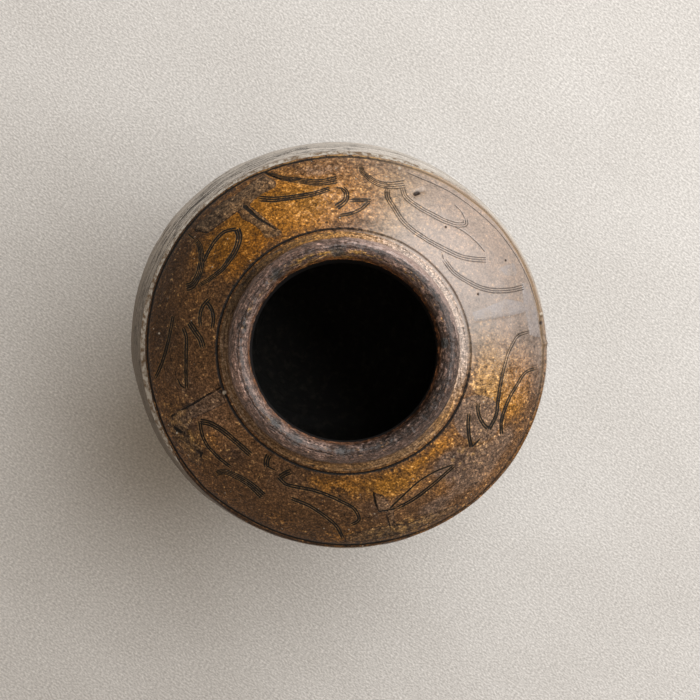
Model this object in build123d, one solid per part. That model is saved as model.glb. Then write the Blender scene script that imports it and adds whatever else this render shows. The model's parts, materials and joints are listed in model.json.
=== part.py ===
from build123d import *
import math
import os

# Stoneware storage jar of the martaban kind, in millimetres.
# The jar stands on the XY plane with its axis on Z, and +Y is the top of the overhead view.
# A potter builds it in sections that are luted together while the clay is damp: a slab base,
# a lower wall, two belly sections, a domed shoulder, a short neck and a rolled rim.
# A thin coil is smeared into the corner between the slab and the wall.
# Four strap lugs were luted to the shoulder and have broken off, and their roots are left.

# Base slab
foot_radius = 94.0
base_thickness = 12.0
foot_edge_radius = 3.0

# Body wall, from the slab to the shoulder break
wall_thickness = 11.0
belly_radius = 156.0
lower_wall_height = 93.0
lower_belly_height = 80.0
upper_belly_height = 83.0
break_inset_width = 10.0
joint_bevel_height = 4.0
corner_coil_width = 10.0
corner_coil_hollow_depth = 2.0

# Mouth, neck and rim, from the bore outwards
mouth_radius = 64.0
neck_wall_thickness = 13.0
neck_flare_width = 9.0
neck_height = 9.0
throat_lift_height = 4.5
throat_bend_radius = 4.0
rim_bevel_height = 2.0
rim_overhang_width = 3.0
rim_inner_width = 8.4
rim_tuck_height = 3.6
rim_crown_height = 8.4

# Domed shoulder
shoulder_height = 41.0
shoulder_rise_height = 4.5

# Rings incised round the shoulder
ring_cut_radius = 0.7
inner_ring_inset_width = 3.0
outer_ring_inset_width = 3.4

# Roots of the four broken lugs, each a strap with a tail towards the neck
lug_root_bed_thickness = 0.1
lug_root_thickness = 0.8
lug_strap_width = 10.0
lug_strap_length = 64.0
lug_strap_gap_width = 5.0
lug_tail_width = 6.5
lug_tail_gap_width = 7.5
lug_corner_radius = 1.5
lug_azimuths = {"back": 127.0, "left": 202.0, "front": 283.0, "right": 14.0}

# Directions and the quarter turn in the section plane, in degrees
outward = 0.0
upward = 90.0
inward = 180.0
downward = 270.0
quarter_turn = 90.0

# Heights that follow from the stack of sections
lower_joint_z = base_thickness + lower_wall_height
belly_z = lower_joint_z + lower_belly_height
break_z = belly_z + upper_belly_height
neck_foot_z = break_z + shoulder_height
neck_top_z = neck_foot_z + neck_height
rim_waist_z = neck_top_z + rim_tuck_height
rim_top_z = rim_waist_z + rim_crown_height

# Radii that follow
break_radius = belly_radius - break_inset_width
neck_radius = mouth_radius + neck_wall_thickness
neck_foot_radius = neck_radius + neck_flare_width
rim_radius = neck_radius + rim_overhang_width
crest_radius = mouth_radius + rim_inner_width
rim_outer_width = rim_radius - crest_radius
inner_ring_radius = neck_foot_radius + inner_ring_inset_width
outer_ring_radius = break_radius - outer_ring_inset_width


class WallArc:
    """A body wall's outer arc, upright at the belly and through one more point."""

    def __init__(self, end_radius, end_z):
        inset = belly_radius - end_radius
        self.bend = (inset**2 + (end_z - belly_z) ** 2) / (2 * inset)
        self.centre_radius = belly_radius - self.bend

    def radius(self, z, depth=0.0):
        """Distance from the axis at height z, on the surface that lies depth under the outer one."""
        return self.centre_radius + math.sqrt((self.bend - depth) ** 2 - (z - belly_z) ** 2)

    def edge(self, z_start, z_end, depth=0.0):
        """The arc between two heights, as an edge in the section plane."""
        heights = (z_start, (z_start + z_end) / 2, z_end)
        return ThreePointArc(*[(self.radius(z, depth), z) for z in heights])


class Dome:
    """The shoulder's outer arc, from the break to the neck's foot."""

    def __init__(self):
        self.start = Vector(break_radius, break_z)
        self.end = Vector(neck_foot_radius, neck_foot_z)
        chord = self.end - self.start
        self.chord_length = chord.length
        outward = Vector(-chord.Y, chord.X) * (-1 / chord.length)
        self.bend = (chord.length**2 / 4 + shoulder_rise_height**2) / (2 * shoulder_rise_height)
        self.centre = (self.start + self.end) / 2 - outward * (self.bend - shoulder_rise_height)

    def point(self, radius, lift=0.0):
        """The point at this distance from the axis, on the surface that lies lift over the outer one."""
        across = radius - self.centre.X
        return (radius, self.centre.Y + math.sqrt((self.bend + lift) ** 2 - across**2))

    def edge(self, radius_start, radius_end, lift=0.0):
        """The arc between two distances from the axis, as an edge in the section plane."""
        radii = (radius_start, (radius_start + radius_end) / 2, radius_end)
        return ThreePointArc(*[self.point(radius, lift) for radius in radii])

    def neck_joint_inside(self):
        """The inner end of the joint with the neck, one wall under the dome's end."""
        inward = (self.centre - self.end).normalized()
        foot = self.end + inward * wall_thickness
        return (foot.X, foot.Y)


lower_arc = WallArc(foot_radius, 0.0)
upper_arc = WallArc(break_radius, break_z)
dome = Dome()

wall_foot_outside = (lower_arc.radius(base_thickness), base_thickness)
wall_foot_inside = (lower_arc.radius(base_thickness, wall_thickness), base_thickness)
coil_top_z = base_thickness + corner_coil_width
lower_joint_outside = (lower_arc.radius(lower_joint_z), lower_joint_z)
lower_joint_inside_z = lower_joint_z + joint_bevel_height
lower_joint_inside = (lower_arc.radius(lower_joint_inside_z, wall_thickness), lower_joint_inside_z)
girth_outside = (belly_radius, belly_z)
girth_inside = (belly_radius - wall_thickness, belly_z)
break_outside = (break_radius, break_z)
break_inside_z = break_z - joint_bevel_height
break_inside = (upper_arc.radius(break_inside_z, wall_thickness), break_inside_z)
neck_joint_outside = (neck_foot_radius, neck_foot_z)
neck_joint_inside = dome.neck_joint_inside()
rim_joint_outside = (neck_radius, neck_top_z)
rim_joint_inside = (mouth_radius, neck_top_z - rim_bevel_height)
rim_waist_inside = (mouth_radius, rim_waist_z)


def section(*edges):
    """A closed outline in the section plane, as a flat face."""
    return make_face(Curve() + list(edges))


def turned(face):
    """The solid of revolution that a section face sweeps round the jar's axis."""
    return revolve(Plane.XZ * face, Axis.Z)


def quarter_round(centre, radius, height, start):
    """A quarter of an ellipse, counter-clockwise from a start direction in the section plane."""
    return EllipticalCenterArc(centre, radius, height, start, arc_size=quarter_turn)


def base_disc():
    """The slab that the jar stands on, its side in line with the lower wall."""
    outline = section(
        Line((0, 0), (foot_radius, 0)),
        lower_arc.edge(0, base_thickness),
        Line(wall_foot_outside, (0, base_thickness)),
        Line((0, base_thickness), (0, 0)),
    )
    foot_edge = outline.vertices().sort_by_distance((foot_radius, 0))[0]
    return turned(fillet(foot_edge, foot_edge_radius))


def corner_coil_ring():
    """The coil smeared into the corner between the slab and the wall, slightly hollow."""
    coil_top = (lower_arc.radius(coil_top_z, wall_thickness), coil_top_z)
    coil_toe = (wall_foot_inside[0] - corner_coil_width, base_thickness)
    return turned(
        section(
            lower_arc.edge(base_thickness, coil_top_z, wall_thickness),
            SagittaArc(coil_top, coil_toe, corner_coil_hollow_depth),
            Line(coil_toe, wall_foot_inside),
        )
    )


def lower_wall():
    """The first wall section, from the slab to a bevelled joint."""
    return turned(
        section(
            lower_arc.edge(base_thickness, lower_joint_z),
            Line(lower_joint_outside, lower_joint_inside),
            lower_arc.edge(lower_joint_inside_z, base_thickness, wall_thickness),
            Line(wall_foot_inside, wall_foot_outside),
        )
    )


def lower_belly():
    """The second wall section, up to a butt joint at the widest girth."""
    return turned(
        section(
            lower_arc.edge(lower_joint_z, belly_z),
            Line(girth_outside, girth_inside),
            lower_arc.edge(belly_z, lower_joint_inside_z, wall_thickness),
            Line(lower_joint_inside, lower_joint_outside),
        )
    )


def upper_belly():
    """The third wall section, from the widest girth to the shoulder break."""
    return turned(
        section(
            upper_arc.edge(belly_z, break_z),
            Line(break_outside, break_inside),
            upper_arc.edge(break_inside_z, belly_z, wall_thickness),
            Line(girth_inside, girth_outside),
        )
    )


def ring_cut(radius):
    """The tool that cuts one incised ring, half of it under the dome."""
    return turned(Pos(*dome.point(radius)) * Circle(ring_cut_radius))


def shoulder_dome():
    """The domed shoulder, with a ring incised near each edge."""
    underside_chord = Vector(*break_inside) - Vector(*neck_joint_inside)
    underside_rise = shoulder_rise_height * underside_chord.length / dome.chord_length
    blank = turned(
        section(
            dome.edge(break_radius, neck_foot_radius),
            Line(neck_joint_outside, neck_joint_inside),
            SagittaArc(neck_joint_inside, break_inside, underside_rise),
            Line(break_inside, break_outside),
        )
    )
    return blank - ring_cut(inner_ring_radius) - ring_cut(outer_ring_radius)


def neck_collar():
    """The short neck: a hollow cove outside and the jar's bore inside."""
    throat = (mouth_radius, neck_joint_inside[1] + throat_lift_height)
    return turned(
        section(
            quarter_round((neck_foot_radius, neck_top_z), neck_flare_width, neck_height, inward),
            Line(rim_joint_outside, rim_joint_inside),
            FilletPolyline(rim_joint_inside, throat, neck_joint_inside, radius=throat_bend_radius),
            Line(neck_joint_inside, neck_joint_outside),
        )
    )


def rim_roll():
    """The rolled rim, tucked in below its waist and rounded over into the bore."""
    return turned(
        section(
            quarter_round((neck_radius, rim_waist_z), rim_overhang_width, rim_tuck_height, downward),
            quarter_round((crest_radius, rim_waist_z), rim_outer_width, rim_crown_height, outward),
            quarter_round((crest_radius, rim_waist_z), rim_inner_width, rim_crown_height, upward),
            Line(rim_waist_inside, rim_joint_inside),
            Line(rim_joint_inside, rim_joint_outside),
        )
    )


def lug_root(azimuth):
    """What is left of one lug: a thin pad of clay that follows the dome, in a T seen from above."""
    strap_outer = outer_ring_radius - lug_strap_gap_width
    strap_inner = strap_outer - lug_strap_width
    tail_inner = inner_ring_radius + lug_tail_gap_width
    strap_half_angle = lug_strap_length / (strap_outer + strap_inner)
    reach = 2 * strap_outer
    corner = (reach * math.cos(strap_half_angle), reach * math.sin(strap_half_angle))
    wedge = make_face(Polyline((0, 0), corner, (corner[0], -corner[1]), close=True))
    strap = (Circle(strap_outer) - Circle(strap_inner)) & wedge
    strap_middle = (strap_inner + strap_outer) / 2
    tail_length = strap_middle - tail_inner
    tail = Pos((strap_middle + tail_inner) / 2, 0) * Rectangle(tail_length, lug_tail_width)
    plan = Sketch() + [strap + tail]
    plan = fillet(plan.vertices(), lug_corner_radius)
    underside = lug_root_bed_thickness
    top = lug_root_thickness
    skin = turned(
        section(
            dome.edge(outer_ring_radius, inner_ring_radius, underside),
            Line(dome.point(inner_ring_radius, underside), dome.point(inner_ring_radius, top)),
            dome.edge(inner_ring_radius, outer_ring_radius, top),
            Line(dome.point(outer_ring_radius, top), dome.point(outer_ring_radius, underside)),
        )
    )
    pad = skin & extrude(plan, rim_top_z)
    return Rot(0, 0, azimuth) * pad


def parts():
    """Every section of the jar by name."""
    made = {
        "base_disc": base_disc(),
        "corner_coil": corner_coil_ring(),
        "lower_wall": lower_wall(),
        "lower_belly": lower_belly(),
        "upper_belly": upper_belly(),
        "shoulder_dome": shoulder_dome(),
        "neck_collar": neck_collar(),
        "rim_roll": rim_roll(),
    }
    for side, azimuth in lug_azimuths.items():
        made[f"lug_root_{side}"] = lug_root(azimuth)
    return made


def main():
    os.makedirs("parts", exist_ok=True)
    for name, shape in parts().items():
        export_step(shape, f"parts/{name}.step")
    print("height", round(rim_top_z, 2), "girth radius", belly_radius)


if __name__ == "__main__":
    main()
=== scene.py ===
"""Looks of a stoneware storage jar of the martaban kind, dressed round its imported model.

The jar is thrown in sections: a slab foot, a bare body, a glazed shoulder with combed tendrils, a
ridged neck and a rolled rim. The scene is in metres, and the jar stands on the XY plane with its
axis on Z. Sizes of the clay are kept in millimetres and scaled by MM where a mesh is made.
"""

import json
import logging
import math
from dataclasses import dataclass
from enum import StrEnum

import bpy
import numpy as np
from mathutils import Matrix, Vector, noise


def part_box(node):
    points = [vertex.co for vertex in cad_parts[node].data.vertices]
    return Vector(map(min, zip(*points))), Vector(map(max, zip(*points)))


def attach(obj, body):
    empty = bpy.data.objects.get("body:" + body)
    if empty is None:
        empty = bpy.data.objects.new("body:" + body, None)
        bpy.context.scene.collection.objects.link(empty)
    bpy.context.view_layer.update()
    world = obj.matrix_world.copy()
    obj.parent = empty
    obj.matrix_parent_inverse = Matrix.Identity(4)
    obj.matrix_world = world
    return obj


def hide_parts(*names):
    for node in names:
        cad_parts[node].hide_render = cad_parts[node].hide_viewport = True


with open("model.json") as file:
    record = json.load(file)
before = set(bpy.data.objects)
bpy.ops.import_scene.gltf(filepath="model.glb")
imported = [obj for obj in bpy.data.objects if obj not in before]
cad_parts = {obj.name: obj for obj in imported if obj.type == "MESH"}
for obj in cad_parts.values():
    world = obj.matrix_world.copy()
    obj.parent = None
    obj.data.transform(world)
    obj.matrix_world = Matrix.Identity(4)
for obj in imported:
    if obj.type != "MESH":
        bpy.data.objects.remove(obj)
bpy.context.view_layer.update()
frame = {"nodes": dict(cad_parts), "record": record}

MM = 0.001
BODY = "root"
FULL_TURN = 2 * math.pi
WELD = 1e-6
WEIGHT_STEPS = 40
SMOOTH_ANGLE = math.radians(38)
LUMP_DETAIL = 2

# How far in millimetres the lattice that bends the jar reaches over it.
WARP_HEADROOM = 2.0

# A distance in millimetres that says that no mark is near.
FAR = 12.0

# The side of the glaze towards the light, with a pale haze and painted sheen on it: its middle, and how it
# fades to both sides, in degrees.
SHEEN_AZIMUTH = 34.0
SHEEN_FADES = ((54.0, 18.0), (88.0, 30.0))
SHEEN_START = (-66.0, -8.0)

# How the fired surface and the thin haze on it reflect.
GLAZE_IOR = 1.45
HAZE_COAT = {"Coat_Roughness": 0.36, "Coat_IOR": 1.55}

log = logging.getLogger("jar")

Piece = bpy.types.Object
Material = bpy.types.Material
Pair = tuple[float, float]
Colour = tuple[float, float, float]
Outline = list[Pair]
PolarPoints = tuple[Pair, ...]
Track = tuple[tuple[float, float, float], ...]
Swell = tuple[Pair, ...]
Streaks = tuple[tuple[float, float, float, float], ...]
Columns = tuple[np.ndarray, ...]


class Slot(StrEnum):
    """The record's material slots that the pieces stand for."""

    STONEWARE = "bare_stoneware"
    AMBER = "amber_glaze"
    RIM = "rim_glaze"


class Mark(StrEnum):
    """Attributes that the meshes carry for the finishes to read."""

    THROWN = "thrown"
    TONE = "tone"
    RING = "ring"
    SCAR = "scar"
    SPOT = "spot"
    EDGE = "edge"
    SCORE = "score"
    COMB = "comb"
    SHADE = "shade"


def smoothstep(low: float, high: float, value: np.ndarray) -> np.ndarray:
    """A soft rise from 0 at low to 1 at high.

    Args:
        low: Where the rise starts.
        high: Where it ends.
        value: The values to shape.

    Returns:
        The shaped values.
    """
    share = np.clip((value - low) / (high - low), 0.0, 1.0)
    return share * share * (3.0 - 2.0 * share)


def plateau(low: float, high: float, fades: Pair, value: np.ndarray) -> np.ndarray:
    """1 between two limits and 0 outside them, with a fade of its own width inside each."""
    return smoothstep(low, low + fades[0], value) * smoothstep(high, high - fades[1], value)


def turn_gap(azimuth: np.ndarray, centre: float) -> np.ndarray:
    """The signed angle in degrees from a centre azimuth, the short way round."""
    return (azimuth - centre + 180.0) % 360.0 - 180.0


def sheen(azimuth: np.ndarray) -> np.ndarray:
    """Read the pale haze and painted sheen on the side of the glaze towards the light.

    Args:
        azimuth: Where, in degrees.

    Returns:
        How much haze and painted sheen there is, from 0 to 1.
    """
    gap = turn_gap(azimuth, SHEEN_AZIMUTH)
    falls = sum(smoothstep(*fade, gap) for fade in SHEEN_FADES) / len(SHEEN_FADES)
    return falls * smoothstep(*SHEEN_START, gap)


def by_azimuth(azimuth: np.ndarray, keys: PolarPoints) -> np.ndarray:
    """A value that changes evenly between keys of azimuth in degrees and value, all round the jar."""
    angles, values = zip(*keys)
    return np.interp(azimuth, angles, values, period=360.0)


def gap_to_path(spots: np.ndarray, path: np.ndarray, halves: np.ndarray) -> np.ndarray:
    """Distance to a line of straight runs, less the line's half width there.

    Args:
        spots: The points to measure from.
        path: The line's corners.
        halves: The line's half width at each corner.

    Returns:
        The distances, below zero on the line.
    """
    gap = np.full(len(spots), np.inf)
    for start, end, half, next_half in zip(path, path[1:], halves, halves[1:]):
        way = end - start
        share = np.clip(((spots - start) @ way) / (way @ way), 0.0, 1.0)
        off = np.linalg.norm(spots - start - share[:, None] * way, axis=1)
        gap = np.minimum(gap, off - half - (next_half - half) * share)
    return gap


def plan_points(polar: PolarPoints) -> np.ndarray:
    """Find where points are in plan.

    Args:
        polar: Azimuth in degrees and distance from the axis in millimetres of each.

    Returns:
        Their positions, in millimetres.
    """
    angles = np.radians([point[0] for point in polar])
    radii = np.array([point[1] for point in polar])
    return np.stack([radii * np.cos(angles), radii * np.sin(angles)], axis=1)


def over_faces(mesh: bpy.types.Mesh, chosen: np.ndarray, rule: np.ufunc) -> np.ndarray:
    """Turn a choice of vertices into a choice of faces.

    Args:
        mesh: The mesh.
        chosen: True for each chosen vertex.
        rule: np.maximum to take faces with any chosen vertex, np.minimum to take those with all.

    Returns:
        True for each chosen face.
    """
    corners = np.zeros(len(mesh.loops), dtype=int)
    mesh.loops.foreach_get("vertex_index", corners)
    starts = np.zeros(len(mesh.polygons), dtype=int)
    mesh.polygons.foreach_get("loop_start", starts)
    return rule.reduceat(chosen[corners].astype(np.int8), starts) > 0


class Places:
    """Where a mesh's vertices are, in the jar's own terms and in millimetres."""

    def __init__(self, piece: Piece) -> None:
        """Read the vertices.

        Args:
            piece: The piece that has them.
        """
        flat = np.zeros(len(piece.data.vertices) * 3)
        piece.data.vertices.foreach_get("co", flat)
        self.piece = piece
        self.spots = flat.reshape(-1, 3) / MM
        self.radius = np.hypot(self.spots[:, 0], self.spots[:, 1])
        self.azimuth = np.degrees(np.arctan2(self.spots[:, 1], self.spots[:, 0])) % 360.0
        self.height = self.spots[:, 2]

    def move(self, radius: np.ndarray, height: np.ndarray) -> None:
        """Put the vertices at new distances and heights, at the azimuths that they have.

        Args:
            radius: New distances from the axis.
            height: New heights.
        """
        angle = np.radians(self.azimuth)
        moved = np.stack([radius * np.cos(angle), radius * np.sin(angle), height], axis=1)
        self.piece.data.vertices.foreach_set("co", (moved * MM).ravel())
        self.piece.data.update()


class Bench:
    """The modelling operations that every section of the jar goes through."""

    @staticmethod
    def take(piece: Piece) -> None:
        """Make a piece the only selected and active object.

        Args:
            piece: The piece.
        """
        bpy.ops.object.select_all(action="DESELECT")
        piece.select_set(True)
        bpy.context.view_layer.objects.active = piece

    @staticmethod
    def spin(name: str, outline: Outline, steps: int) -> Piece:
        """Turn a closed outline round the jar's axis, as on the wheel.

        Args:
            name: The piece's name.
            outline: Distances from the axis and heights, in millimetres, in order round the section.
            steps: How many steps a full turn has.

        Returns:
            The turned piece, with its doubles merged and its faces outwards.
        """
        bpy.ops.object.select_all(action="DESELECT")
        bpy.ops.mesh.primitive_circle_add(vertices=len(outline), radius=MM, fill_type="NOTHING")
        piece = bpy.context.object
        piece.name = name
        piece.data.name = name
        spots = np.array([(radius * MM, 0.0, height * MM) for radius, height in outline])
        piece.data.vertices.foreach_set("co", spots.ravel())
        bpy.ops.object.mode_set(mode="EDIT")
        bpy.ops.mesh.select_all(action="SELECT")
        bpy.ops.mesh.spin(steps=steps, angle=FULL_TURN, center=(0, 0, 0), axis=(0, 0, 1))
        bpy.ops.mesh.select_all(action="SELECT")
        bpy.ops.mesh.remove_doubles(threshold=WELD)
        bpy.ops.mesh.normals_make_consistent(inside=False)
        bpy.ops.object.mode_set(mode="OBJECT")
        return piece

    @staticmethod
    def modify(piece: Piece, kind: str, **settings) -> None:
        """Add a modifier with its settings and apply it.

        Args:
            piece: The piece to change.
            kind: The modifier's type.
            settings: The modifier's own settings.
        """
        Bench.take(piece)
        bpy.ops.object.modifier_add(type=kind)
        modifier = piece.modifiers[-1]
        for name, value in settings.items():
            setattr(modifier, name, value)
        bpy.ops.object.modifier_apply(modifier=modifier.name)

    @staticmethod
    def weigh(piece: Piece, name: str, weights: np.ndarray) -> str:
        """Store weights from 0 to 1 as a vertex group.

        Args:
            piece: The piece that gets the group.
            name: The group's name.
            weights: One weight for each vertex.

        Returns:
            The group's name.
        """
        group = piece.vertex_groups.new(name=name)
        levels = np.rint(np.clip(weights, 0.0, 1.0) * WEIGHT_STEPS).astype(int)
        for level in range(1, WEIGHT_STEPS + 1):
            members = np.flatnonzero(levels == level).tolist()
            if members:
                group.add(members, level / WEIGHT_STEPS, "REPLACE")
        return name

    @staticmethod
    def press(piece: Piece, weights: np.ndarray, height: float) -> None:
        """Raise or sink the surface where weights say, along its normals.

        Args:
            piece: The piece to change.
            weights: One weight for each vertex.
            height: How far a full weight moves a vertex, in millimetres.
        """
        group = Bench.weigh(piece, "press", weights)
        Bench.modify(piece, "DISPLACE", vertex_group=group, mid_level=0.0, strength=height * MM)
        piece.vertex_groups.remove(piece.vertex_groups[group])

    @staticmethod
    def lumps(piece: Piece, swell: Swell, weights: np.ndarray) -> None:
        """Give the surface the uneven swell of clay pressed by hand.

        Args:
            piece: The piece to change.
            swell: How wide the lumps are and how far they rise and sink in all, in millimetres, for
                each size of lump.
            weights: One weight for each vertex.
        """
        group = Bench.weigh(piece, "lumps", weights)
        for size, height in swell:
            clouds = bpy.data.textures.new("lumps", "CLOUDS")
            clouds.noise_scale = size * MM
            clouds.noise_depth = LUMP_DETAIL
            settings = {"texture": clouds, "texture_coords": "LOCAL", "vertex_group": group}
            Bench.modify(piece, "DISPLACE", strength=height * MM, mid_level=0.5, **settings)
            bpy.data.textures.remove(clouds)
        piece.vertex_groups.remove(piece.vertex_groups[group])

    @staticmethod
    def mark(piece: Piece, name: str, *columns: np.ndarray) -> None:
        """Store up to three values a vertex for the finishes to read.

        Args:
            piece: The piece that gets the mark.
            name: The mark's name.
            columns: One value for each vertex, up to three times. What is left out is 0.
        """
        values = np.zeros((len(piece.data.vertices), 3), dtype=np.float32)
        for index, column in enumerate(columns):
            values[:, index] = column
        attribute = piece.data.attributes.new(str(name), "FLOAT_VECTOR", "POINT")
        attribute.data.foreach_set("vector", values.ravel())

    @staticmethod
    def smooth(piece: Piece) -> None:
        """Shade a piece smooth, with its true corners kept."""
        Bench.take(piece)
        bpy.ops.object.shade_smooth_by_angle(angle=SMOOTH_ANGLE)

    @staticmethod
    def refine(piece: Piece, near: np.ndarray, cuts: int) -> None:
        """Subdivide the faces that have a marked vertex.

        Args:
            piece: The piece to change.
            near: True for each vertex whose faces are refined.
            cuts: How many cuts each edge gets.
        """
        Bench.take(piece)
        chosen = over_faces(piece.data, near, np.maximum)
        bpy.ops.object.mode_set(mode="EDIT")
        bpy.ops.mesh.select_mode(type="FACE")
        bpy.ops.mesh.select_all(action="DESELECT")
        bpy.ops.object.mode_set(mode="OBJECT")
        piece.data.polygons.foreach_set("select", chosen)
        bpy.ops.object.mode_set(mode="EDIT")
        bpy.ops.mesh.subdivide(number_cuts=cuts)
        bpy.ops.mesh.select_mode(type="VERT")
        bpy.ops.object.mode_set(mode="OBJECT")


@dataclass(frozen=True)
class JarForm:
    """Radii and heights of the jar in millimetres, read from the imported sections."""

    slab_top: float
    slab_radius: float
    girth_radius: float
    girth_z: float
    break_radius: float
    break_z: float
    neck_foot_radius: float
    neck_foot_z: float
    neck_top_z: float
    rim_radius: float
    rim_top_z: float
    mouth_radius: float
    wall: float = 11.0
    shoulder_rise: float = 4.5
    joint_bevel: float = 4.0
    crest_inset: float = 8.4
    throat_inset: float = 3.8

    @classmethod
    def from_frame(cls) -> "JarForm":
        """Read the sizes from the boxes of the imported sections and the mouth's bore.

        Returns:
            The jar's form.
        """
        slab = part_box("base_disc")
        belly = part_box("upper_belly")
        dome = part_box("shoulder_dome")
        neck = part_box("neck_collar")
        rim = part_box("rim_roll")
        mouth = next(mount for mount in frame["record"]["mounts"] if mount["name"] == "mouth")
        return cls(
            slab_top=slab[1].z / MM,
            slab_radius=slab[1].x / MM,
            girth_radius=belly[1].x / MM,
            girth_z=belly[0].z / MM,
            break_radius=dome[1].x / MM,
            break_z=belly[1].z / MM,
            neck_foot_radius=neck[1].x / MM,
            neck_foot_z=dome[1].z / MM,
            neck_top_z=neck[1].z / MM,
            rim_radius=rim[1].x / MM,
            rim_top_z=rim[1].z / MM,
            mouth_radius=mouth["dims"]["r_mm"],
        )

    def wall_radius(self, height: np.ndarray | float, depth: float = 0.0) -> np.ndarray | float:
        """Find the body wall.

        Args:
            height: At which height.
            depth: How far under the wall's outside.

        Returns:
            Distance from the axis.
        """
        height = np.asarray(height, dtype=float)
        low_bend = self._bend(self.slab_radius, self.slab_top)
        high_bend = self._bend(self.break_radius, self.break_z)
        bend = np.where(height < self.girth_z, low_bend, high_bend)
        across = (bend - depth) ** 2 - (height - self.girth_z) ** 2
        return self.girth_radius - bend + np.sqrt(across)

    @property
    def crest_radius(self) -> float:
        """Distance from the axis to the top of the rolled rim."""
        return self.mouth_radius + self.crest_inset

    def _bend(self, end_radius: float, end_z: float) -> float:
        """Radius of the wall's arc that is upright at the girth and passes one more point."""
        inset = self.girth_radius - end_radius
        return (inset**2 + (end_z - self.girth_z) ** 2) / (2 * inset)

    def dome_height(self, radius: np.ndarray | float, sink: float = 0.0) -> np.ndarray | float:
        """Find the shoulder's dome.

        Args:
            radius: At which distance from the axis.
            sink: How far under the dome's outside.

        Returns:
            The height.
        """
        start = Vector((self.break_radius, self.break_z))
        end = Vector((self.neck_foot_radius, self.neck_foot_z))
        chord = end - start
        bend = (chord.length**2 / 4 + self.shoulder_rise**2) / (2 * self.shoulder_rise)
        away = Vector((chord.y, -chord.x)) / chord.length
        centre = (start + end) / 2 - away * (bend - self.shoulder_rise)
        across = (bend - sink) ** 2 - (np.asarray(radius, dtype=float) - centre.x) ** 2
        return centre.y + np.sqrt(across)


@dataclass(frozen=True)
class Warp:
    """How the fired jar has gone out of round, as a lattice that every piece is bent by.

    Each key is a height in millimetres, the share by which the jar is longer along its long
    direction, and how far the section has moved.
    """

    height: float
    span: float = 400.0
    long_azimuth: float = -15.0
    levels: int = 23
    keys: tuple[tuple[float, float, float, float], ...] = (
        (0.0, 0.010, 0.0, 0.0),
        (190.0, 0.015, 0.0, 0.0),
        (262.0, 0.013, 2.9, -2.3),
        (285.0, 0.017, 1.7, -1.7),
        (307.0, 0.024, -0.1, -0.8),
        (318.0, 0.014, -1.0, 1.1),
        (330.0, 0.014, -1.1, 1.6),
    )

    def lattice(self) -> Piece:
        """Make the lattice.

        Returns:
            The lattice, with its points moved.
        """
        bpy.ops.object.select_all(action="DESELECT")
        bpy.ops.object.add(type="LATTICE", location=(0, 0, self.height * MM / 2))
        cage = bpy.context.object
        cage.scale = (self.span * MM, self.span * MM, self.height * MM)
        grid = cage.data
        grid.points_u = 2
        grid.points_v = 2
        grid.points_w = self.levels
        for way in ("u", "v", "w"):
            setattr(grid, f"interpolation_type_{way}", "KEY_LINEAR")
        turn = math.radians(2 * self.long_azimuth)
        heights, stretches, rights, backs = zip(*self.keys)
        for point in grid.points:
            height = (point.co.z + 0.5) * self.height
            stretch = np.interp(height, heights, stretches)
            x = point.co.x * (1 + stretch * math.cos(turn)) + point.co.y * stretch * math.sin(turn)
            y = point.co.x * stretch * math.sin(turn) + point.co.y * (1 - stretch * math.cos(turn))
            right = np.interp(height, heights, rights) / self.span
            back = np.interp(height, heights, backs) / self.span
            point.co_deform = (x + right, y + back, point.co.z)
        bpy.context.view_layer.update()
        return cage


@dataclass(frozen=True)
class Stroke:
    """One pass of the comb through the wet slip.

    Points are azimuth in degrees and distance from the axis in millimetres. Spread scales the
    teeth's spacing at the two ends, and taper is how long each end takes to lift out.
    """

    teeth: int
    points: PolarPoints
    spread: Pair = (1.0, 0.9)
    taper: Pair = (1.2, 4.0)

    pitch = 1.6
    step = 0.5
    least_points = 4

    def path(self) -> np.ndarray:
        """Draw the stroke's middle line in plan.

        Returns:
            Close points on a smooth curve.
        """
        knots = plan_points(self.points)
        lengths = np.linalg.norm(np.diff(knots, axis=0), axis=1)
        at = np.concatenate([[0.0], np.cumsum(lengths)])
        slopes = np.gradient(knots, at, axis=0)
        wanted = np.linspace(0.0, at[-1], max(self.least_points, int(at[-1] / self.step)))
        span = np.clip(np.searchsorted(at, wanted, side="right") - 1, 0, len(at) - 2)
        gap = (at[span + 1] - at[span])[:, None]
        share = (wanted - at[span])[:, None] / gap
        start, end = knots[span], knots[span + 1]
        out, into = slopes[span] * gap, slopes[span + 1] * gap
        square, cube = share**2, share**3
        line = (2 * cube - 3 * square + 1) * start + (cube - 2 * square + share) * out
        return line + (3 * square - 2 * cube) * end + (cube - square) * into


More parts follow.
